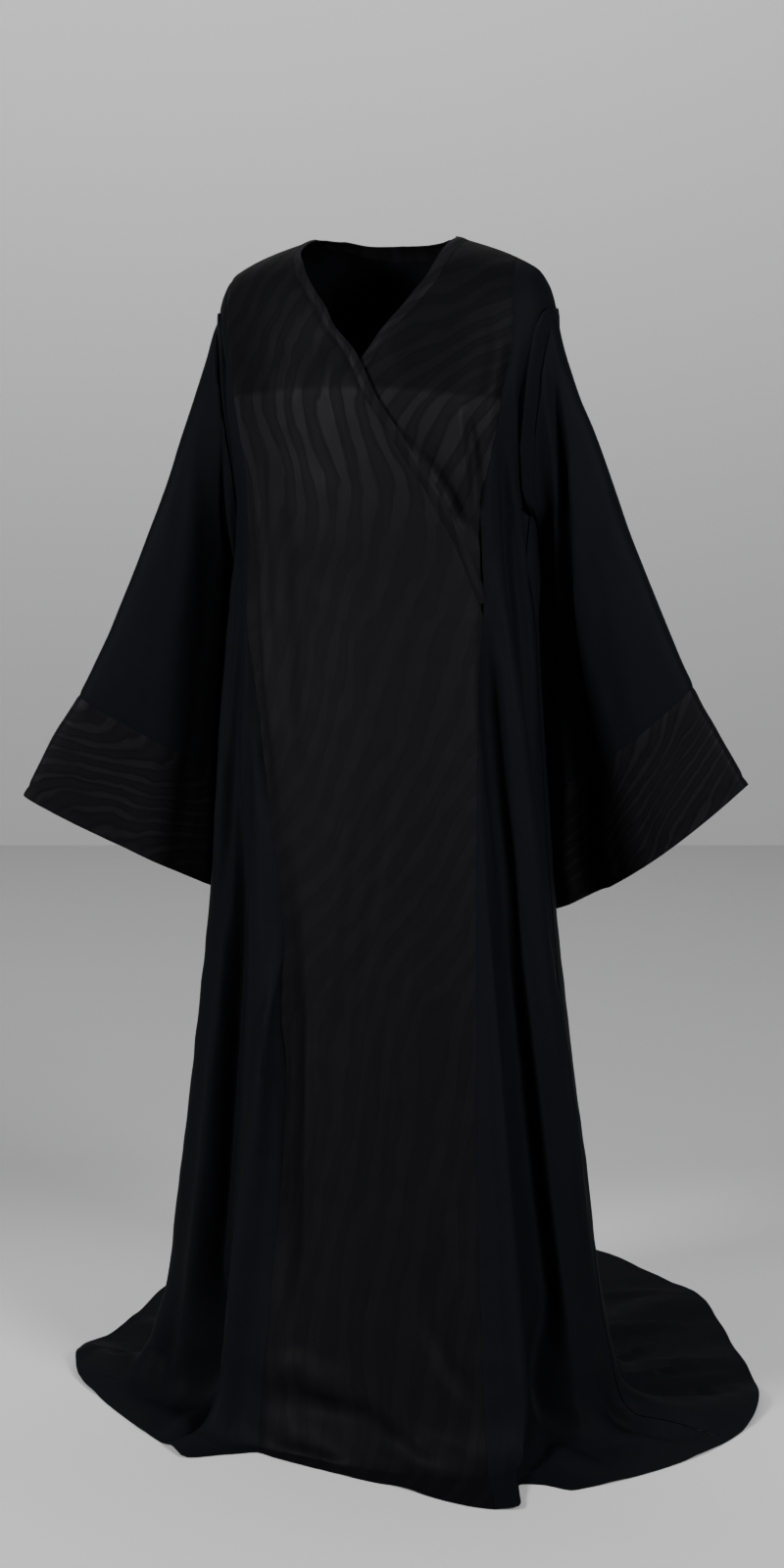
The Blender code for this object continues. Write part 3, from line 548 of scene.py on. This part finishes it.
def striped_satin(name, stripe_width, lean, bold, crest=(-0.2, 0.5)):
    """Black satin with waved stripes woven tone on tone, a little lighter and glossier than the
    plain weave. lean holds stretches down the cloth and how far the stripes shift across it over each.
    bold holds stretches too, with the change over each in how clearly the stripes show and in how
    light the cloth is coloured; where that lightness changes down the cloth it is painted light and
    shade. crest is the part of the wave over which plain weave turns into stripe."""
    cloth = Finish(name, Metallic=0.0, Specular_IOR_Level=0.020, Sheen_Weight=0.001, Sheen_Roughness=0.4)
    cut = cloth.node("ShaderNodeUVMap", {"uv_map": "cut"}, {})
    wide = cloth.node("ShaderNodeSeparateXYZ", {}, {0: cut})
    down = Thread(cloth, wide.socket.node.outputs[1])
    tilt = 0.0
    for start, end, amount in lean:
        tilt = cloth.rise(down, start, end) * amount + tilt
    strength, tone_and_painted_light = 0.0, 0.0
    # each stretch sets how strongly the stripes show and shifts the colour lighter or darker; on the
    # fronts that shift is painted light and shade
    for start, end, amount, shade in bold:
        step = cloth.rise(down, start, end)
        strength = step * amount + strength
        tone_and_painted_light = step * shade + tone_and_painted_light
    flat = cloth.node("ShaderNodeCombineXYZ", {}, {0: wide, 1: down * 0.35, 2: 0.0})
    sway = cloth.noise(flat, 8.0, 1.5) - 0.5
    flutter = cloth.noise(flat, 42.0, 2.0) - 0.5
    course = wide + tilt + sway * (2.6 * stripe_width) + flutter * (0.55 * stripe_width)
    wave = cloth.node("ShaderNodeMath", {"operation": "SINE"}, {0: course * (2 * math.pi / stripe_width)})
    broken = cloth.noise(flat, 22.0, 1.0) - 0.5
    strands = cloth.node("ShaderNodeCombineXYZ", {}, {0: course * 60.0, 1: down * 5.0, 2: 0.0})
    streak = cloth.noise(strands, 3.2, 2.0)
    edged = wave + broken * 2.2 + (streak - 0.5) * 1.8
    outline = cloth.rise(edged, crest[0] - 0.8, crest[0] - 0.1) - cloth.rise(edged, crest[0], crest[1])
    stripe = (cloth.rise(edged, *crest) - outline * 0.4) * strength
    twill = cloth.node("ShaderNodeTexWave", {"bands_direction": "DIAGONAL"},
                       {"Vector": cut, "Scale": 420.0, "Distortion": 1.5, "Detail": 1.0})
    dust = cloth.noise(cut, 900.0, 2.0)
    # base colour: the woven stripes and streaks, plus the lightness from bold, which on the fronts is
    # painted light and shade
    colour = cloth.node("ShaderNodeMix", {"data_type": "RGBA"}, {
        0: stripe * 0.5 + streak * 0.2 + tone_and_painted_light,
        6: (0.0020, 0.0020, 0.0024, 1.0),
        7: (0.0067, 0.0065, 0.0076, 1.0)}, out=2)
    cloth.feed("Base Color", colour)
    cloth.feed("Roughness", 0.58 - stripe * 0.14 - (streak - 0.5) * 0.10 + (dust - 0.5) * 0.06)
    relief = twill * 0.25 + dust * 0.4 + stripe * 0.7 + streak * 0.5
    cloth.feed("Normal", cloth.node("ShaderNodeBump", {}, {
        "Strength": 0.25, "Distance": 0.0005, "Height": relief}))
    return cloth.material


# on the fronts the colour is painted lighter from the bust line down, a painted reflection, and darker
# down the skirt towards the floor, painted shade
front_satin = striped_satin(
    "black satin, long stripes", 0.034,
    ((-0.05, 0.26, 0.20), (0.30, 0.60, 0.11), (0.55, 1.05, 0.26), (1.00, 1.45, 0.05)),
    ((-0.02, -0.01, 0.26, -0.06), (0.214, 0.224, 0.64, 0.44), (0.28, 0.42, -0.68, -0.06),
     (0.40, 1.20, -0.06, -0.26)))


def crossing_limit(drop):
    edge = right_edge(drop)
    return np.minimum(edge - across(edge, drop, BAND_WIDTH), left_seam(drop))


right_front = body_panel(
    "right_front", right_seam, crossing_limit, drops_to(AT_HEM), columns=72, finish=front_satin,
    lift=lap_lift, puckers=(("last", 0.40, 0.85, 0.0010, 0.017), ("first", 0.30, 1.30, 0.0005, 0.026)))
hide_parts("front_right_upper", "front_right_lower")

# ---- left front ------------------------------------------
# The short upper front of the same satin. It is tucked under the crossing panel, so only the
# triangle between the neckline and the left princess seam shows.
UNDERLAP_END = 0.47     # drop at which it ends
UNDERLAP_DEPTH = 0.002  # it lies this far under the plain drape where it is covered
HOLLOW = 0.011          # depth of the hollow beside the open stretch of the crossing edge


def tuck(angle, drop):
    """How far the left front lies back where the crossing front covers it."""
    covered = ease((right_edge(drop) + 14 - angle) / 8)
    hollow = gaping(drop) * np.exp(-((angle - right_edge(drop) - 4) / 5) ** 2)
    settled = LAP_LIFT * ease((drop - LAP_END + LAP_FADE) / LAP_FADE)
    return -covered * (UNDERLAP_DEPTH + settled) - HOLLOW * hollow


def left_band_limit(drop):
    edge = left_edge(drop)
    return edge + across(edge, drop, BAND_WIDTH)


left_front = body_panel(
    "left_front", left_band_limit, left_seam, drops_to(UNDERLAP_END), columns=44, finish=front_satin,
    lift=tuck, puckers=(("last", 0.02, 0.40, 0.0007, 0.024),))
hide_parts("front_left")

# ---- neck bands ------------------------------------------
# Narrow edge bands of satin, cut on the slant, folded over the neckline and the crossing edge
# and stitched down about a centimetre in. They lie a little thicker than a single cloth.
BAND = 0.0016        # thickness of the folded band
BAND_SWELL = 0.0007  # it stands up this much between its fold and its stitching
band_satin = striped_satin("black satin, bias bands", 0.030, ((0.0, 0.5, 0.30),),
                           ((-0.02, -0.01, 0.5, 0.2),))


def band_end(drop):
    return np.minimum(right_edge(drop), left_seam(drop))


def rounded(lift, first_line, last_line):
    """A band swells between its fold and its stitching."""
    def rise(angle, drop):
        first, last = first_line(drop[:, :1]), last_line(drop[:, :1])
        share = np.clip((angle - first) / np.maximum(last - first, 1e-6), 0, 1)
        return lift(angle, drop) + BAND_SWELL * np.sin(math.pi * share)
    return rise


crossing_band = body_panel(
    "crossing_band", crossing_limit, band_end, drops_to(0.425), columns=6, finish=band_satin,
    lift=rounded(lap_lift, crossing_limit, band_end), shell=BAND)
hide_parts("neck_band_right")

under_band = body_panel(
    "under_band", left_edge, left_band_limit, drops_to(UNDERLAP_END), columns=6, finish=band_satin,
    lift=rounded(tuck, left_edge, left_band_limit), shell=BAND)
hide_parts("neck_band_left")

# ---- side fronts -----------------------------------------
# Two flared side panels of matt black crepe, from the shoulder, round the armhole and down to
# the floor. Each is sewn to a front along its princess seam and to the back along its side.

# drop, angle of the front of the armhole and, below it, of the side seam
ARMHOLE = np.array((
    (0.0, 76.0), (0.01, 72.5), (0.045, 68.0), (0.13, 66.0), (0.22, 68.5), (0.28, 74.5),
    (0.308, 80.0), (0.325, 90.0),
))


def side_line(drop):
    return curve_through(ARMHOLE, 1, drop)


def matt_crepe(name):
    """Black crepe with a fine pebbled face and a faint blue cast."""
    cloth = Finish(name, Metallic=0.0, Specular_IOR_Level=0.012, Sheen_Weight=0.001, Sheen_Roughness=0.5)
    cloth.shader.inputs["Sheen Tint"].default_value = (0.80, 0.84, 1.0, 1.0)
    cut = cloth.node("ShaderNodeUVMap", {"uv_map": "cut"}, {})
    pebble = cloth.noise(cut, 1500.0, 3.0, 0.6)
    slub = cloth.noise(cut, 210.0, 2.0)
    cloud = cloth.noise(cut, 7.0, 2.0)
    colour = cloth.node("ShaderNodeMix", {"data_type": "RGBA"}, {
        0: cloud * 0.6 + slub * 0.4,
        6: (0.0024, 0.0025, 0.0032, 1.0),
        7: (0.0036, 0.0038, 0.0048, 1.0)}, out=2)
    cloth.feed("Base Color", colour)
    cloth.feed("Roughness", 0.60 + (cloud - 0.5) * 0.10 + (slub - 0.5) * 0.08)
    cloth.feed("Normal", cloth.node("ShaderNodeBump", {}, {
        "Strength": 0.30, "Distance": 0.0004, "Height": pebble * 0.8 + slub * 0.4}))
    return cloth.material


body_crepe = matt_crepe("black crepe, body")

right_side = body_panel(
    "right_side_front", lambda drop: -side_line(drop), right_seam, drops_to(AT_HEM), columns=64,
    finish=body_crepe, puckers=(("last", 0.30, 1.30, 0.0005, 0.026),))
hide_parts("side_front_right")

left_side = body_panel(
    "left_side_front", left_seam, side_line, drops_to(AT_HEM), columns=60, finish=body_crepe,
    puckers=(("first", 0.40, 0.85, 0.0009, 0.017),))
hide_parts("side_front_left")

# ---- back ------------------------------------------------
# One wide flared panel of the same crepe, with the longest part of the train, and the band that
# finishes the back of the neck.
NECK_HALF = 0.090   # half the width of the neck at the shoulders
NECK_DEPTH = 0.062  # how far the neck reaches back
NECK_FADE = 0.325   # the rows of the back follow the neckline down to here
YOKE_ROWS = 8       # rows of BODY over which the back grows steadily deeper


def place_behind(x, y):
    """Angle and drop of a point of the back yoke given as seen from above."""
    yoke = BODY[:YOKE_ROWS]
    drop = np.interp(y, yoke[:, BEHIND], yoke[:, 0])
    for _ in range(4):
        off_middle = np.arcsin(x / curve_through(BODY, WIDTH, drop))
        drop = np.interp(y / np.cos(off_middle), yoke[:, BEHIND], yoke[:, 0])
    return 180 - np.degrees(off_middle), drop


row = drops_to(AT_HEM)[:, None]
reach = side_line(row) - across(180 - side_line(row), row, SEAM / 2)
outer_half = NECK_HALF + BAND_WIDTH + SEAM / 2
outer_depth = NECK_DEPTH + BAND_WIDTH + SEAM / 2
round_neck = np.radians(np.linspace(-90, 90, 41))
top_half = BODY[0, WIDTH]
neck_share = np.degrees(np.arcsin(outer_half * np.sin(round_neck) / top_half)) / reach[0, 0]
share = np.concatenate([np.linspace(-1, neck_share[0], 43)[:-1], neck_share,
                        np.linspace(neck_share[-1], 1, 43)[1:]])[None, :]
from_middle = top_half * np.sin(np.radians(reach[0, 0] * share))
behind = outer_depth * np.sqrt(np.clip(1 - (from_middle / outer_half) ** 2, 0, 1))
neck_angle, neck_drop = place_behind(-from_middle, behind)
near_neck = 1 - ease(row / NECK_FADE)
back_angle = 180 + reach * share + (neck_angle - 180 - reach[0, 0] * share) * near_neck
back_place = draped(back_angle, row + neck_drop * near_neck)[0]
back_crepe = matt_crepe("black crepe, back")
back = lay("back_panel", back_place, 0.5, SHELL, back_crepe)
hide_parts("back")

turn = -np.radians(np.linspace(-90, 90, 61))[None, :]
out_of_neck = np.linspace(0, BAND_WIDTH - SEAM / 2, 6)[:, None]
band_angle, band_drop = place_behind((NECK_HALF + out_of_neck) * np.sin(turn),
                                     (NECK_DEPTH + out_of_neck) * np.cos(turn))
band_place, band_out = draped(band_angle, band_drop)
swell = BAND_SWELL * np.sin(math.pi * out_of_neck / BAND_WIDTH)
back_band = lay("back_neck_band", band_place + band_out * swell[..., None], 0.5, BAND, band_satin)
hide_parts("neck_band_back")

# ---- sleeves ---------------------------------------------
# Wide flared sleeves of crepe, each one piece with its seam under the arm, set into the armhole
# and hanging flat beside the body.
ARMHOLE_END = 0.325    # drop of the underarm point
ARMHOLE_FADE = 0.2     # by this share of its length a sleeve has its own section
GUTTER = 0.020         # depth of the trough in front, just outside the armhole seam
GUTTER_AT = 0.050      # where it lies, in share of the length
GUTTER_HALF = 0.026    # and its half width
CLEAR = 0.0045         # a sleeve hangs at least this far off the body
CLEAR_BEHIND = 0.010   # and this much farther off behind
SEWN_DIP = 0.0014      # the armhole, cuff and hem stitching draws the cloth in by this much
SEWN_DIP_HALF = 0.004  # and this far out to each side

# share of the length; outer fold x, y, drop; knee x, y; inner fold x, y, drop; swell in front, behind
SWELL_FRONT, SWELL_BEHIND = 9, 10
LEFT_SLEEVE = np.array((
    (0.00, 0.212, 0.000, 0.090, 0.204, -0.010, 0.187, 0.020, 0.325, 0.030, 0.000),
    (0.12, 0.232, 0.000, 0.150, 0.217, -0.004, 0.187, 0.036, 0.356, 0.026, 0.008),
    (0.25, 0.263, 0.004, 0.225, 0.225, -0.006, 0.170, 0.066, 0.410, 0.030, 0.021),
    (0.50, 0.315, 0.010, 0.363, 0.236, 0.000, 0.155, 0.112, 0.530, 0.028, 0.028),
    (0.78, 0.386, 0.020, 0.528, 0.268, 0.036, 0.164, 0.118, 0.690, 0.026, 0.026),
    (0.90, 0.416, 0.026, 0.583, 0.284, 0.052, 0.170, 0.124, 0.770, 0.025, 0.025),
    (1.00, 0.452, 0.030, 0.645, 0.304, 0.062, 0.180, 0.130, 0.840, 0.024, 0.024),
))
RIGHT_SLEEVE = np.array((
    (0.00, -0.216, 0.000, 0.101, -0.205, -0.010, -0.187, 0.020, 0.325, 0.034, 0.036),
    (0.12, -0.238, -0.006, 0.165, -0.221, 0.000, -0.200, 0.032, 0.378, 0.032, 0.034),
    (0.25, -0.266, -0.015, 0.248, -0.234, 0.002, -0.206, 0.048, 0.430, 0.030, 0.030),
    (0.50, -0.319, -0.035, 0.400, -0.258, -0.004, -0.211, 0.066, 0.530, 0.028, 0.028),
    (0.78, -0.392, -0.055, 0.567, -0.300, -0.004, -0.216, 0.082, 0.694, 0.026, 0.026),
    (0.90, -0.432, -0.063, 0.628, -0.319, -0.002, -0.213, 0.090, 0.782, 0.025, 0.025),
    (1.00, -0.467, -0.070, 0.697, -0.337, 0.000, -0.217, 0.096, 0.852, 0.024, 0.024),
))
# folds through both layers of a sleeve: depth and half width in share of the section, then
# length and section share of the points it passes
LEFT_SLEEVE_FOLDS = (
    (-0.020, 0.13, (0.02, 0.08), (0.13, 0.20), (0.22, 0.36), (0.33, 0.44), (0.45, 0.52), (0.60, 0.58),
     (0.80, 0.66), (0.92, 0.73), (1.25, 0.86)),
    (0.003, 0.14, (0.18, 0.00), (0.40, 0.10), (0.70, 0.22), (1.00, 0.33), (1.30, 0.40)),
)
RIGHT_SLEEVE_FOLDS = (
    (-0.010, 0.10, (0.02, 0.40), (0.27, 0.74), (0.50, 0.80), (0.70, 0.84), (0.90, 0.86), (1.20, 0.90)),
    (0.003, 0.14, (0.16, 0.20), (0.40, 0.32), (0.70, 0.45), (1.00, 0.55), (1.30, 0.60)),
)


def sleeve_folds(folds, share, along):
    """How far the folds push both layers of a sleeve forward."""
    total = np.zeros(np.broadcast(share, along).shape)
    for depth, half, *knots in folds:
        alongs, shares = np.array(knots, float).T
        middle = np.interp(along, alongs, shares)
        grown = ease((along - alongs[0]) / 0.18) * ease((alongs[-1] - along) / 0.18)
        total += depth * grown * np.clip(1 - ((share - middle) / half) ** 2, 0, 1) ** 2
    return total


def sleeve_form(side, table, folds, bow, thins):
    """Place of a point of a sleeve, from degrees round its section and share of its length. bow is
    how far its rows hang down in the middle, thins how much it flattens to its inner fold."""
    def spine(share, along):
        outer_x, outer_y, outer_drop, knee_x, knee_y, inner_x, inner_y, inner_drop = (
            curve_through(table, column, along) for column in range(1, SWELL_FRONT))
        outer = np.stack([outer_x, outer_y, -outer_drop], -1)
        inner = np.stack([inner_x, inner_y, -inner_drop], -1)
        low = 0.5 + 0.35 * (1 - ease(along / 0.6))
        knee_z = outer[..., 2] + (inner[..., 2] - outer[..., 2]) * low - bow * along
        knee = np.stack([knee_x, knee_y, knee_z], -1)
        share = share[..., None]
        return (1 - share) ** 2 * outer + 2 * share * (1 - share) * knee + share ** 2 * inner

    ring_at = np.arange(0, 361, 2.0)
    ring_share = (1 - np.cos(np.radians(ring_at))) / 2
    ring_drop = ARMHOLE_END * ring_share
    ring_angle = side_line(ring_drop)
    ring_in_front = -side * np.sin(np.radians(ring_at)) > 0
    ring = draped(side * np.where(ring_in_front, ring_angle, 180 - ring_angle), ring_drop)[0]
    ring[:, 0] += side * (0.0010 + 0.0015 * ring_share)

    def armhole(around):
        return np.stack([np.interp(around % 360, ring_at, ring[:, i]) for i in range(3)], -1)

    def form(around, along):
        around, along = np.broadcast_arrays(np.asarray(around, float), np.asarray(along, float))
        along = np.clip(along, 0.0, 1.0)
        share = (1 - np.cos(np.radians(around))) / 2
        front = -side * np.sin(np.radians(around))
        arm = np.full(along.shape, 0.3)
        down_arm = spine(arm, np.minimum(along + 0.01, 1)) - spine(arm, np.maximum(along - 0.01, 0))
        to_inner = spine(np.minimum(share + 0.01, 1), along) - spine(np.maximum(share - 0.01, 0), along)
        forward = side * np.cross(to_inner, down_arm)
        forward /= np.linalg.norm(forward, axis=-1, keepdims=True)
        swell = np.where(
            front > 0, curve_through(table, SWELL_FRONT, along) * (1 - thins * ease(1.3 * share)),
            -curve_through(table, SWELL_BEHIND, along) * (1 - 0.65 * ease(share)))
        off = swell * np.abs(front) ** 0.6 + sleeve_folds(folds, share, along)
        free = spine(share, along) + forward * off[..., None]
        leaving = ease(along / ARMHOLE_FADE)[..., None]
        place = armhole(around) * (1 - leaving) + free * leaving
        place[..., 0] += side * 0.002 * share * np.sin(math.pi * np.clip(along / 0.25, 0, 1))
        gutter = GUTTER * np.exp(-((along - GUTTER_AT) / GUTTER_HALF) ** 2)
        gutter = gutter * np.clip(front, 0, 1) * np.sqrt(1 - share)
        place -= forward * gutter[..., None]
        outward = np.sqrt(np.clip(-front, 0, 1)) * ease(2 * share)
        away = ease(along / 0.1) * (CLEAR + CLEAR_BEHIND * outward)
        drop = -place[..., 2]
        depth = np.where(place[..., 1] > 0, curve_through(BODY, BEHIND, drop),
                         curve_through(BODY, FRONT, drop))
        inside = np.hypot(place[..., 0] / (curve_through(BODY, WIDTH, drop) + away),
                          place[..., 1] / (depth + away))
        place[..., :2] /= np.where(away > 0, np.minimum(inside, 1.0), 1.0)[..., None]
        return place

    return form


def sleeve_piece(name, form, first, last, rows, finish, seed, sewn):
    """A tube of cloth between two shares of a sleeve's length, drawn in where it is sewn."""
    around = np.linspace(0, 360, 145)[None, :]
    length = np.linalg.norm(form(0.0, 1.0) - form(0.0, 0.0))
    along = np.linspace(first, last, rows + 1)[:, None]
    place = form(around, along)
    out = normals_of(form, around, along, 2.0, 0.006)
    rise = 0.0008 * unevenness(place, 0.13, seed) + 0.0004 * unevenness(place, 0.045, seed + 1)
    rise *= ease((along - 0.02) / 0.1)
    for seam in sewn:
        rise = rise - SEWN_DIP * np.exp(-((along - seam) * length / SEWN_DIP_HALF) ** 2)
    place = place + out * rise[..., None]
    place[:, -1] = place[:, 0]
    return lay(name, place, 0.25, SHELL, finish, closed=True)


SET_AT = 0.78  # the cuff is sewn on at this share of the sleeve's length
left_form = sleeve_form(1, LEFT_SLEEVE, LEFT_SLEEVE_FOLDS, bow=0.048, thins=0.8)
right_form = sleeve_form(-1, RIGHT_SLEEVE, RIGHT_SLEEVE_FOLDS, bow=0.002, thins=0.1)
sleeve_crepe = matt_crepe("black crepe, sleeves")
left_sleeve = sleeve_piece("left_sleeve", left_form, 0.0, SET_AT, rows=96, finish=sleeve_crepe,
                           seed=21, sewn=(0.0, SET_AT))
right_sleeve = sleeve_piece("right_sleeve", right_form, 0.0, SET_AT, rows=96, finish=sleeve_crepe,
                            seed=31, sewn=(0.0, SET_AT))
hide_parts("sleeve_left")
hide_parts("sleeve_right")

# ---- cuffs -----------------------------------------------
# Deep cuffs of the striped satin, one band round each sleeve, seamed to its lower edge, with a
# narrow turned hem.
HEM_SEWN = 0.985  # share of the sleeve's length where the hem is stitched
cuff_satin = striped_satin("black satin, cuffs", 0.046, ((0.0, 0.16, 0.30),),
                           ((-0.02, -0.01, 0.7, 0.15),), (0.1, 1.1))
left_cuff = sleeve_piece("left_cuff", left_form, SET_AT, 1.0, rows=28, finish=cuff_satin,
                         seed=21, sewn=(SET_AT, HEM_SEWN))
right_cuff = sleeve_piece("right_cuff", right_form, SET_AT, 1.0, rows=28, finish=cuff_satin,
                          seed=31, sewn=(SET_AT, HEM_SEWN))
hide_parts("cuff_left")
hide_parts("cuff_right")

# ---- studio ----------------------------------------------
# A plain pale paper floor with a paper wall behind it. Large soft panels light the cloak from
# both sides and a little from above, one more lights the wall, and the camera stands at shoulder
# height, a little round to the wearer's left.
TURNED = math.radians(20)  # the camera stands this far round to the wearer's left
LOOKS_DOWN = math.radians(10.46)
CAMERA_AWAY = 3.5
CAMERA_ASIDE = 0.0086
CAMERA_HEIGHT = -0.02  # from the shoulder line
bpy.ops.object.select_all(action="DESELECT")
bpy.ops.mesh.primitive_plane_add(size=1.0, location=(0, 0, 0))
floor = bpy.context.object
floor.name = "studio_floor"
floor.scale = (14.0, 14.0, 1.0)
floor.location = (0.0, 0.0, FLOOR - 0.0005)
bpy.ops.object.transform_apply(location=True, rotation=True, scale=True)

bpy.ops.mesh.primitive_plane_add(size=1.0, rotation=(math.radians(90), 0, TURNED))
wall = bpy.context.object
wall.name = "studio_wall"
wall.scale = (14.0, 8.0, 1.0)
wall.location = (-1.2, 3.3, FLOOR + 3.9)
bpy.ops.object.transform_apply(location=True, rotation=True, scale=True)

# painted shade: the paper is coloured darker straight back from the camera, where the light falls off,
# and lighter again up the wall
paper = Finish("pale backdrop", Roughness=0.9, Metallic=0.0)
where = paper.node("ShaderNodeTexCoord", {}, {}, out=3)
sideways = paper.node("ShaderNodeSeparateXYZ", {}, {0: where})
backwards = Thread(paper, sideways.socket.node.outputs[1])
height = Thread(paper, sideways.socket.node.outputs[2])
behind_cloak = backwards * 0.94 - sideways * 0.342
shade = paper.rise(behind_cloak, 0.35, 1.0) * (1.0 - paper.rise(height, -1.3, 0.8) * 0.75)
paper.feed("Base Color", paper.node("ShaderNodeMix", {"data_type": "RGBA"}, {
    0: shade, 6: (0.41, 0.41, 0.41, 1.0), 7: (0.26, 0.26, 0.26, 1.0)}, out=2))
for sheet in (floor, wall):
    sheet.data.materials.append(paper.material)


def soft_panel(name, place, aim, width, height, power):
    """A softly glowing rectangle, turned towards a point."""
    lamp = bpy.data.lights.new(name, "AREA")
    lamp.shape = "RECTANGLE"
    lamp.size = width
    lamp.size_y = height
    lamp.energy = power
    holder = bpy.data.objects.new(name, lamp)
    bpy.context.collection.objects.link(holder)
    holder.location = place
    holder.rotation_euler = (Vector(aim) - Vector(place)).to_track_quat("-Z", "Y").to_euler()


soft_panel("left panel", (-2.6, -3.5, 1.1), (0, 0, -0.4), 1.1, 1.3, 370)
soft_panel("right panel", (3.6, -2.2, 1.0), (0, 0, -0.4), 1.1, 1.3, 320)
soft_panel("top panel", (0.2, 0.2, 2.9), (0, 0.2, -1.4), 4.0, 3.0, 12)
soft_panel("backdrop panel", (-1.0, 1.3, 2.6), (-1.2, 3.3, -0.2), 4.4, 1.2, 118)

world = bpy.data.worlds.new("studio air")
world.use_nodes = True
air = world.node_tree.nodes["Background"].inputs
air["Color"].default_value = (0.80, 0.82, 0.86, 1.0)
air["Strength"].default_value = 0.08
bpy.context.scene.world = world

ahead = Vector((-math.sin(TURNED), math.cos(TURNED), 0.0))
beside = Vector((math.cos(TURNED), math.sin(TURNED), 0.0))
lens = bpy.data.cameras.new("camera")
lens.lens = 65.565
lens.sensor_width = 36.0
lens.sensor_fit = "AUTO"
lens.clip_end = 60.0
camera = bpy.data.objects.new("camera", lens)
bpy.context.collection.objects.link(camera)
camera.location = ahead * -CAMERA_AWAY + beside * CAMERA_ASIDE + Vector((0.0, 0.0, CAMERA_HEIGHT))
aim = ahead * math.cos(LOOKS_DOWN) + Vector((0, 0, -math.sin(LOOKS_DOWN)))
camera.rotation_euler = aim.to_track_quat("-Z", "Y").to_euler()
bpy.context.scene.camera = camera
